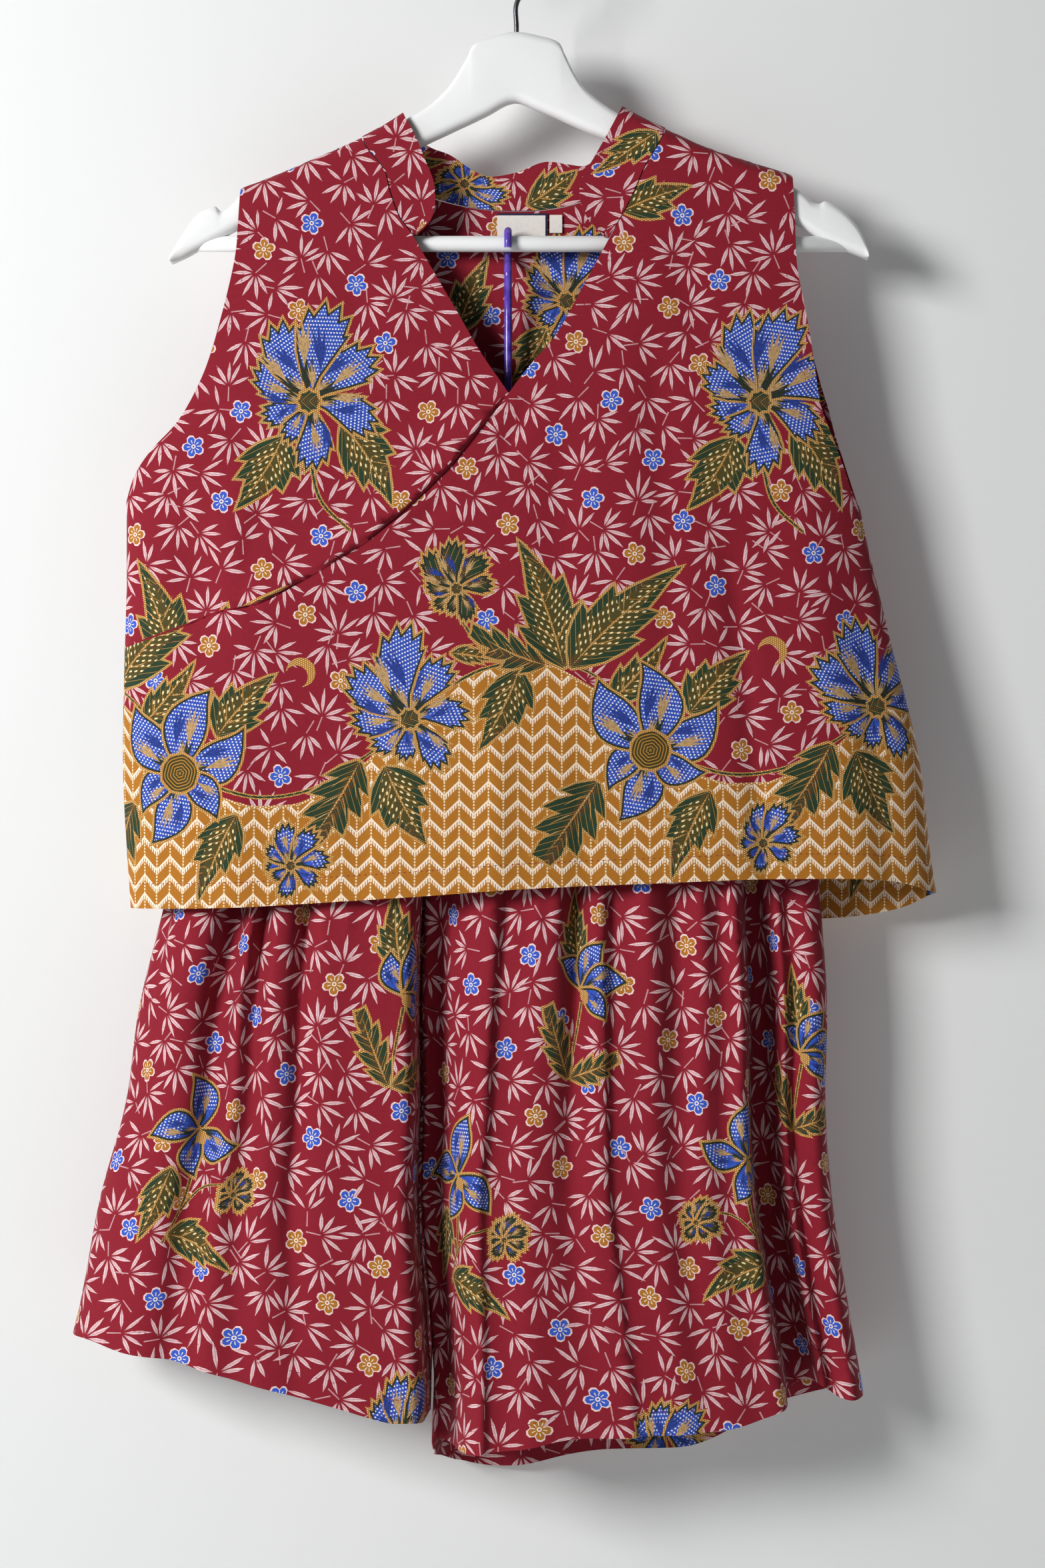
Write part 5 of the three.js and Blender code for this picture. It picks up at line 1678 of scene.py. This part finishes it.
HANGER_OUTLINE = [
    # x, top, bottom
    [-213.6, 202.6, 205],
    [-212, 198.4, 205.4],
    [-205, 186.4, 202.8],
    [-196.5, 175.4, 198.2],
    [-189, 171.4, 194.2],
    [-185.4, 171, 192.2],
    [-182.4, 173.8, 190.6],
    [-178.5, 172.2, 188.4],
    [-174.4, 168.2, 186.2],
    [-169.5, 163.4, 183.8],
    [-157.4, 156.6, 178.4],
    [-145.5, 151.7, 173],
    [-131.6, 145.9, 166.7],
    [-117.7, 139.7, 160.4],
    [-104, 133.6, 154.2],
    [-88, 127.6, 147.6],
    [-72, 119, 140],
    [-56, 109.8, 132.4],
    [-43, 98, 126.4],
    [-35.4, 86.6, 122.8],
    [-31, 79, 120.8],
    [-27.6, 72, 119.2],
    [-18, 67.4, 114.6],
    [-2, 63.6, 106.9],
    [12, 65.8, 111.6],
    [25.2, 70.2, 117],
    [29, 77.4, 118.8],
    [34.3, 88.2, 121.2],
    [41, 98, 124.2],
    [57, 111, 130.9],
    [72, 118.4, 137.6],
    [88, 124.6, 144.6],
    [104, 131.4, 151.6],
    [117, 136.4, 157.3],
    [132, 141.6, 163.9],
    [143, 146.4, 168.7],
    [155, 151.6, 174],
    [168, 158, 179.8],
    [176.1, 163.8, 184.6],
    [180.1, 167.6, 187.2],
    [185.2, 169.2, 190.2],
    [188.7, 167.6, 192],
    [198.5, 172.8, 196.6],
    [207.1, 181.4, 200],
    [212, 189.5, 202],
    [215.3, 199.8, 202.8],
]
HANGER_HALF_DEPTH = 6.5
HANGER_EDGE_ROUND = 5.5
CORNER_STEPS = 5
BAR_DROP = 193.6
BAR_RADIUS = 4.9
BAR_ENDS = (-202.7, 205.7)


def plain_mesh(name, points, faces, material):
    """A smooth-shaded mesh of one material, from millimetres."""
    mesh = bpy.data.meshes.new(name)
    mesh.from_pydata([tuple(np.array(p) * MM) for p in points], [], faces)
    mesh.materials.append(material)
    mesh.polygons.foreach_set("use_smooth", np.ones(len(faces), bool))
    mesh.update()
    return linked(name, mesh)


def tube(name, rings, material):
    """A closed skin over rings of as many points each, with flat ends."""
    around, last = len(rings[0]), len(rings) - 1
    points = [spot for ring in rings for spot in ring]
    faces = [(j + i, j + k, j + k + around, j + i + around)
             for j in range(0, last * around, around)
             for i, k in zip(range(around), [*range(1, around), 0])]
    faces.append(tuple(range(around))[::-1])
    faces.append(tuple(range(last * around, (last + 1) * around)))
    return plain_mesh(name, points, faces, material)


def arc(radius, degrees):
    """Places on a circle in the hanger's own plane, each across and up."""
    return [radius * toward(math.radians(a)) for a in degrees]


def wooden_body():
    """The hanger's arms: rounded sections along its outline, smoother than the solid's."""
    rows = np.array(HANGER_OUTLINE)
    rows = smooth_line(rows, np.linspace(0, len(rows) - 1, 4 * (len(rows) - 1) + 1))
    rings = []
    for x, top, bottom in rows:
        edge = min(HANGER_EDGE_ROUND, (bottom - top) / 2 - 0.2)
        inner = HANGER_HALF_DEPTH - edge
        corners = [(inner, top + edge), (-inner, top + edge), (-inner, bottom - edge),
                   (inner, bottom - edge)]
        rings.append([
            (x, y + across, up - drop) for quarter, (y, drop) in enumerate(corners)
            for across, up in arc(edge, np.linspace(0, 90, CORNER_STEPS + 1) + 90 * quarter)
        ])
    return tube("wooden_hanger_arms", rings, white_paint())


def round_bar(name, material):
    """The hanger's bar, with its ends' edges broken."""
    first, last = BAR_ENDS
    rings = [
        [(x, y, z - BAR_DROP) for y, z in arc(BAR_RADIUS - inset, np.arange(0, 360, 9))]
        for x, inset in ((first, 0.6), (first + 0.5, 0), (last - 0.5, 0), (last, 0.6))
    ]
    return tube(name, rings, material)


def wire(name, lines, radius, material):
    """Round wire along one or more smooth lines. A line is (points, closed)."""
    curve = bpy.data.curves.new(name, "CURVE")
    curve.dimensions = "3D"
    curve.bevel_depth = radius * MM
    curve.bevel_resolution = 6
    curve.use_fill_caps = True
    for points, closed in lines:
        points = np.array(points, float)
        if closed:
            points = np.vstack([points, points[:1]])
        fine = smooth_line(points, np.linspace(0, len(points) - 1, 8 * (len(points) - 1) + 1))
        if closed:
            fine = fine[:-1]
        line = curve.splines.new("POLY")
        line.points.add(len(fine) - 1)
        line.points.foreach_set("co", np.column_stack([fine * MM, np.ones(len(fine))]).ravel())
        line.use_cyclic_u = closed
    curve.materials.append(material)
    return linked(name, curve)


# Settings, operators and the panel

CLOTH_STEP = 8
TOP_HEM = 15
SHORTS_HEM = 14


def colour_setting(name, description, *values):
    return bpy.props.FloatVectorProperty(
        name=name, description=description, subtype="COLOR", default=linear(*values), min=0, max=1,
    )


class SamfuSettings(bpy.types.PropertyGroup):
    crimson: colour_setting("Crimson", "Dye of the cotton's ground", 137, 25, 42)
    ochre: colour_setting("Ochre", "Dye of the border and the small blossoms", 174, 112, 33)
    blue: colour_setting("Blue", "Dye of the petals and the small blossoms", 54, 90, 196)
    coat: colour_setting("Wire coat", "Colour of the wire hanger's coat", 104, 76, 190)
    wall: colour_setting("Wall", "Colour of the wall and floor", 226, 227, 226)
    cloth: bpy.props.FloatProperty(
        name="Cloth thickness", description="Thickness of a single layer of the cotton",
        default=0.00055, min=0.0002, max=0.001, unit="LENGTH", precision=5,
    )


def settled(piece, slot, *nodes):
    """Puts every piece on the root body and hides the solids it stands for. The finish given as
    slot is not used.
    """
    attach(piece, "root")
    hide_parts(*nodes)


def cut_cloth(name, surface, outline, art, node, thick=None, wall=None,
              across=None, down=None):
    """Makes one piece of the printed cotton."""
    low, high = outline.min(axis=0), outline.max(axis=0)
    if wall is None:
        wall = bpy.context.scene.samfu.cloth / MM
    if across is None:
        across = spaced(low[0], high[0], CLOTH_STEP)
    if down is None:
        down = spaced(low[1], high[1], CLOTH_STEP)
    piece = cloth_piece(name, surface, outline, art, wall, across, down, thick)
    settled(piece, "printed_cotton", node)
    area = float(abs(shape_area(outline)) * MM * MM)


def hem_rise(x):
    """How far the front hem rises above its left end at a flat place, as its print does."""
    line = np.array(FRONT_HEM)
    return 0.9 * (np.interp(x, line[:, 0], line[:, 1]) - FRONT_HEM[0][1])


def top_piece(name, node, surface, edges, seed, border, motifs, hems):
    """Cuts, prints and hems a piece of the top.

    An edge is a line and the step along it, and a negative step takes the line backwards.
    A hem is its edge's number, the stitches' inset or None, and the fold's width and height."""
    flats = [surface.flat(along(line, abs(step))[::1 if step > 0 else -1]) for line, step in edges]
    outline = np.vstack([edge[:-1] for edge in flats])
    art = Print(seed)
    edge = art.border_band(outline[:, 0].min(), outline[:, 0].max(), *border)
    for motif, *values in motifs:
        motif(art, *values)
    art.ground(outline, edge)
    if surface.pressed:
        art.strip("crimson_ground", surface.flat(surface.pressed), BULGE_STEP)
    for number, inset, _, _ in hems:
        if inset is not None:
            stitches(art, flats[number], inset, 1)
    thick = hem_fold([(flats[number], width, height) for number, _, width, height in hems])
    cut_cloth(name, surface, outline, art, node, thick)


class SAMFU_OT_top(bpy.types.Operator):
    """Makes the crossover top's two fronts and its back"""

    bl_idname = "samfu.top"
    bl_label = "Crossover top"

    def execute(self, context):
        neck = [pair for k, pair in enumerate(RIGHT_NECK) if k != len(RIGHT_NECK) - 2]
        top_piece(
            "front_over", "top_front_over", TopSurface(-1, over_lift),
            [(WRAP_EDGE, 4), (neck, 3), (RIGHT_SHOULDER, 4), (RIGHT_FRONT_ARMHOLE, 4),
             (RIGHT_SIDE, 5), (FRONT_HEM, -4), ([WRAP_EDGE[0], [-241.6, 520], FRONT_HEM[0]], -5)],
            31, (640, -206, hem_rise),
            [(sprig, 148, 293, 60, 0.1), (Print.leaf, 64, 176, 104, 160, 24)],
            [(5, TOP_HEM, TOP_HEM, 0.5), (0, 6, 7, 0.4), (3, 7, 8, 0.4)],
        )
        front = TopSurface(-1, under_lift)
        front.pressed = [[x - BULGE_STEP * 0.7, drop] for x, drop in along(WRAP_EDGE, 5)
                         if BULGE_START[0] < drop < BULGE_END[0]]
        top_piece(
            "front_under", "top_front_under", front,
            [(LEFT_SHOULDER, 4), (LEFT_NECK, 3), (UNDER_EDGE, 4),
             ([UNDER_EDGE[-1], [52, 480], UNDER_HEM[-1]], 5), (UNDER_HEM, -4),
             ([*LEFT_SIDE[:-1], UNDER_HEM[0]], -5), (LEFT_ARMHOLE, -4)],
            32, (640, -154, hem_rise), [(sprig, -127, 293, 60)],
            [(4, None, TOP_HEM, 0.4), (2, 6, 7, 0.4), (6, 7, 8, 0.4)],
        )
        top_piece(
            "back", "top_back", TopSurface(1),
            [(LEFT_SHOULDER, 4), (BACK_NECK, 3), (RIGHT_SHOULDER, 4), (RIGHT_BACK_ARMHOLE, 4),
             (RIGHT_SIDE, 5), (BACK_HEM, -4), (LEFT_SIDE, -5), (LEFT_ARMHOLE, -4)],
            33, (660, -90),
            [(sprig, -136, 300, 60), (sprig, 136, 300, 60, 0.1, -1), (sprig, 30, 226, 44, 0.2),
             (Print.leaf, -38, 246, -20, 200, 24)],
            [(5, TOP_HEM, TOP_HEM, 0.5), (3, 7, 8, 0.4), (7, 7, 8, 0.4)],
        )
        return {"FINISHED"}


class SAMFU_OT_collar(bpy.types.Operator):
    """Makes the stand collar and the blank neck label with its tab"""

    bl_idname = "samfu.collar"
    bl_label = "Collar and label"

    def execute(self, context):
        inset, height = 0.7, 28
        first, second = [], []
        for side, *places in COLLAR_STATIONS:
            seam, free = np.array(places[:2]), np.array(places[2:])
            start = mix(seam, free, inset / np.hypot(*(free - seam)))
            for spot, line in ((start, first), (free, second)):
                depth = max(float(top_depth(*spot, side or 1)), SEAM_GAP / 2)
                line.append([spot[0], side * depth, -spot[1]])
        surface = BandSurface(first, second, height, 1, 0.5)
        outline, length = surface.outline(), surface.run[-1]
        art = Print(34)
        for x in (96, 190, 250, 300):
            art.leaf(x, 4, x + 34, 22, 20)
        art.ragged_flower(150, 16, 30, 0.3)
        art.ground(outline)
        stitches(art, [[4, 25.5], [length / 2, 25.5], [length - 4, 25.5]], 0, 1)
        cut_cloth("stand_collar", surface, outline, art, "collar",
                  wall=1.3, across=spaced(0, length, 4), down=spaced(0, height, 5))

        inward = 1.5
        for name, node, left, right, top, foot in (
            ("woven_label", "neck_label", -12.8, 18.5, 172.6, 187),
            ("woven_tab", "size_tab", 19.6, 27.4, 173.6, 184.6),
        ):
            lines = [
                [[x, float(top_depth(x, drop, 1)) - inward, -drop]
                 for x in np.linspace(left, right, 9)]
                for drop in (top, foot)
            ]
            height = foot - top
            surface = BandSurface(*lines, height, 1)
            width = surface.run[-1]
            art = Print(35, "label_white")
            if node == "neck_label":
                for x, foot_y in ((0, 1.3), (width - 1.5, height + 1)):
                    strip = [[x, -1], [width + 1, -1], [width + 1, foot_y], [x, foot_y]]
                    art.add("label_navy", np.array(strip, float), 0, 0, 0)
            piece = cloth_piece(name, surface, surface.outline(), art, 0.6, spaced(0, width, 2),
                                spaced(0, height, 2))
            settled(piece, "label_tape", node)
        return {"FINISHED"}


def waist_line(drop):
    """Points round the gathered waistband at one drop, close together at its sides."""
    columns, ripple = 88, 0.02
    left, right, front, back, square = (float(v) for v in shorts_ring(drop))
    line = []
    for k in range(columns + 1):
        ahead, across = toward(2 * math.pi * k / columns)
        share = math.copysign(1 - (1 - abs(across)) ** 1.3, across)
        depth = math.sqrt(max(0, 1 - abs(share) ** square))
        gather = math.cos(k * 2.4) if k % columns else 1
        y = (-front if ahead > 0 else back) * depth
        line.append([mix(left, right, (1 + share) / 2), y * (1 + gather * ripple), -drop])
    return line


class SAMFU_OT_shorts(bpy.types.Operator):
    """Makes the shorts' four quarters and their gathered waistband"""

    bl_idname = "samfu.shorts"
    bl_label = "Gathered shorts"

    def execute(self, context):
        quarters = (
            ("shorts_left_front", "shorts_front_left", -1, -1, FRONT_LEFT_FOLDS, FRONT_SEAM,
             front_hem_line, 41, [(spray, -194, 736, 35, 0, 1), (fan, -68, 652, 35, 0, 1),
                                  (sprig, -70, 915, 40, 0.4, 1)]),
            ("shorts_right_front", "shorts_front_right", -1, 1, FRONT_RIGHT_FOLDS, FRONT_SEAM,
             front_hem_line, 42, [(fan, 38, 650, 34, 0, 1), (spray, -36, 762, 35, 0, 1),
                                  (spray, 138, 752, 35, 0, -1), (sprig, 84, 926, 36, 0.6, 1),
                                  (fan, 174, 690, 30, 0, 1)]),
            ("shorts_left_back", "shorts_back_left", 1, -1, BACK_LEFT_FOLDS, BACK_SEAM,
             back_hem_line, 43, [(fan, -170, 650, 35, 0, 1), (spray, -110, 780, 35, 0, -1),
                                 (sprig, -200, 900, 38, 0.4, 1)]),
            ("shorts_right_back", "shorts_back_right", 1, 1, BACK_RIGHT_FOLDS, BACK_SEAM,
             back_hem_line, 44, [(fan, 60, 640, 35, 0, -1), (spray, 10, 790, 35, 0, 1),
                                 (spray, 140, 770, 35, 0, -1), (sprig, 90, 930, 38, 0.4, 1)]),
        )
        for name, node, side, hand, folds, seam, hem_line, seed, flowers in quarters:
            surface = ShortsSurface(side, hand, folds, seam, hem_line, seed)
            outline = surface.outline()
            art = Print(seed)
            for shape, x, drop, radius, turn, lean in flowers:
                across = surface.flat([[x, drop]])[0][0]
                shape(art, across, drop, radius, turn, lean)
            art.ground(outline)
            foot = np.column_stack([surface.run, surface.hem])
            stitches(art, foot, SHORTS_HEM, -1)
            cut_cloth(name, surface, outline, art, node,
                      hem_fold([(foot, SHORTS_HEM, 0.5)]), across=surface.run[::2])

        lines = [waist_line(drop) for drop in (WAIST_TOP, WAIST_BOTTOM)]
        surface = BandSurface(*lines, WAIST_BOTTOM - WAIST_TOP, -1, 0.4, step=2)
        outline, length = surface.outline(), surface.run[-1]
        art = Print(45)
        art.ground(outline)
        stitches(art, [[3, 15], [length / 2, 15], [length - 3, 15]], 0, 1)
        cut_cloth("waist_casing", surface, outline, art, "shorts_waistband",
                  wall=1.8, across=spaced(0, length, 6), down=spaced(0, 31, 10))
        return {"FINISHED"}


class SAMFU_OT_hangers(bpy.types.Operator):
    """Makes the white wooden hanger with its hook and bar, and the coated wire hanger"""

    bl_idname = "samfu.hangers"
    bl_label = "Hangers"

    def execute(self, context):
        arms = wooden_body()
        settled(arms, "white_paint", "hanger_body")
        bar = round_bar("wooden_hanger_bar", arms.data.materials[0])
        settled(bar, "white_paint", "hanger_bar")
        bend, thick = 19, 1.5
        crook = [[x, 0, up - bend + thick]
                 for x, up in arc(bend, (-35, -15, 10, 35, 62, 90, 118, 145, 172, 198))]
        shank = [[-0.8, 0, -74.7], [-0.8, 0, -60], [-0.8, 0, -46], [5.5, 0, -36.5]]
        hook = wire("metal_hook", [(shank + crook, False)], thick, hook_steel())
        settled(hook, "hook_steel", "hanger_hook")

        wire_x, thick, bend, clearance = -6, 2.4, 8.6, 0.55
        crook_drop = BAR_DROP - BAR_RADIUS - clearance - thick + bend
        crook = [[wire_x, y, up - crook_drop]
                 for y, up in arc(bend, (200, 172, 145, 118, 90, 62, 35, 5, -25))]
        shank = [[wire_x, -7.5, -(crook_drop + 18)], [wire_x, -2, -(crook_drop + 32)],
                 [wire_x, 0, -(crook_drop + 46)], [wire_x, 0, -300]]
        left, right = (float(v) for v in shorts_ring(440)[:2])
        inset = CLOTH_WALL + SEAM_GAP + thick
        left, right = left + inset, right - inset

        def corner(x, inwards):
            return [[x + inwards * 22, 0, -385], [x + inwards * 6, 0, -398], [x, 0, -414],
                    [x, 0, -430], [x + inwards * 3, 0, -437], [x + inwards * 12, 0, -440]]

        loop = [[wire_x, 0, -300], [wire_x + 14, 0, -305], *corner(right, -1),
                *corner(left, 1)[::-1], [wire_x - 14, 0, -305]]
        coat = wire_coat(tuple(context.scene.samfu.coat))
        inner = wire("wire_hanger", [(crook + shank, False), (loop, True)], thick, coat)
        settled(inner, "purple_coat", "inner_hanger")
        return {"FINISHED"}


class SAMFU_OT_stage(bpy.types.Operator):
    """Makes the pale wall and floor, the soft lights and the camera"""

    bl_idname = "samfu.stage"
    bl_label = "Stage, lights and camera"

    def execute(self, context):
        scene = context.scene
        recipe = Recipe("plain_wall", tuple(scene.samfu.wall), 0.9, 0.1)
        recipe.bump(recipe.noise(recipe.object_place(), 90, 4), 0.0004, 0.15)
        recipe.shader.inputs["Emission Color"].default_value = (0.95, 0.97, 1, 1)
        recipe.shader.inputs["Emission Strength"].default_value = 0.045
        seen_from = recipe.node("ShaderNodeNewGeometry").outputs["Backfacing"]
        clear = recipe.node("ShaderNodeBsdfTransparent")
        either = recipe.node("ShaderNodeMixShader")
        recipe.feed(either.inputs[0], seen_from)
        recipe.feed(either.inputs[1], recipe.shader.outputs[0])
        recipe.feed(either.inputs[2], clear.outputs[0])
        recipe.feed(recipe.tree.nodes["Material Output"].inputs[0], either.outputs[0])
        wall_y, wall_top, floor_z, bend, half_width, floor_reach = 52, 1500, -1500, 200, 2600, 6000
        section = [(wall_y - bend, floor_z)]
        section += [
            (wall_y - bend + bend * math.sin(a), floor_z + bend - bend * math.cos(a))
            for a in np.linspace(0.2, math.pi / 2, 8)
        ]
        section.append((wall_y, wall_top))
        points = [(x, y, z) for y, z in section for x in (-half_width, half_width)]
        faces = [(2 * k, 2 * k + 1, 2 * k + 3, 2 * k + 2) for k in range(len(section) - 1)]
        wall = plain_mesh("wall_and_floor", points, faces, recipe.material)
        wall.visible_shadow = False
        corners = [(floor_reach * x, floor_reach * y, floor_z - 1)
                   for x, y in ((-1, -1), (1, -1), (1, 1), (-1, 1))]
        floor = plain_mesh("floor", corners, [(0, 1, 2, 3)], recipe.material)

        for name, place, aim, size, power in (
            ("window_light", (-1.55, -1.6, 0.12), (-0.1, 0, -0.45), 0.7, 56),
            ("fill_light", (1.9, -1.9, -0.3), (0, 0, -0.5), 1.8, 1.5),
            ("rear_light", (0.9, 2.2, 0.3), (0, 0, -0.5), 1.5, 20),
        ):
            lamp = bpy.data.lights.new(name, "AREA")
            lamp.energy, lamp.size = power, size
            light = linked(name, lamp)
            light.location = place
            light.rotation_euler = (Vector(aim) - Vector(place)).to_track_quat("-Z", "Y").to_euler()
        world = bpy.data.worlds.new("soft_room")
        world.use_nodes = True
        world.node_tree.nodes["Background"].inputs["Color"].default_value = (0.9, 0.95, 1, 1)
        world.node_tree.nodes["Background"].inputs["Strength"].default_value = 0.07
        scene.world = world
        scene.view_settings.view_transform = "Standard"

        camera = linked("camera", bpy.data.cameras.new("camera"))
        camera.data.sensor_fit = "VERTICAL"
        camera.data.sensor_height = 36
        camera.data.lens = 59.73
        camera.location = (0.00287, -1.6, -0.52571)
        camera.rotation_euler = (math.pi / 2, 0, 0)
        scene.camera = camera
        return {"FINISHED"}


class SAMFU_PT_panel(bpy.types.Panel):
    """Lists the samfu's settings and the operators that make it"""

    bl_label = "Samfu"
    bl_idname = "SAMFU_PT_panel"
    bl_space_type = "VIEW_3D"
    bl_region_type = "UI"
    bl_category = "Samfu"

    def draw(self, context):
        settings = context.scene.samfu
        for name in ("crimson", "ochre", "blue", "coat", "wall", "cloth"):
            self.layout.prop(settings, name)
        for maker in MAKERS:
            self.layout.operator(maker.bl_idname)


MAKERS = (SAMFU_OT_top, SAMFU_OT_collar, SAMFU_OT_shorts, SAMFU_OT_hangers, SAMFU_OT_stage)
CLASSES = (SamfuSettings, *MAKERS, SAMFU_PT_panel)


def register():
    for cls in CLASSES:
        bpy.utils.register_class(cls)
    bpy.types.Scene.samfu = bpy.props.PointerProperty(type=SamfuSettings)


def unregister():
    del bpy.types.Scene.samfu
    for cls in reversed(CLASSES):
        bpy.utils.unregister_class(cls)


def main():
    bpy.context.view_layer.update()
    register()
    make_dyes(bpy.context.scene.samfu)
    bpy.ops.samfu.top()
    bpy.ops.samfu.collar()
    bpy.ops.samfu.shorts()
    bpy.ops.samfu.hangers()
    bpy.ops.samfu.stage()


if __name__ == "__main__":
    main()
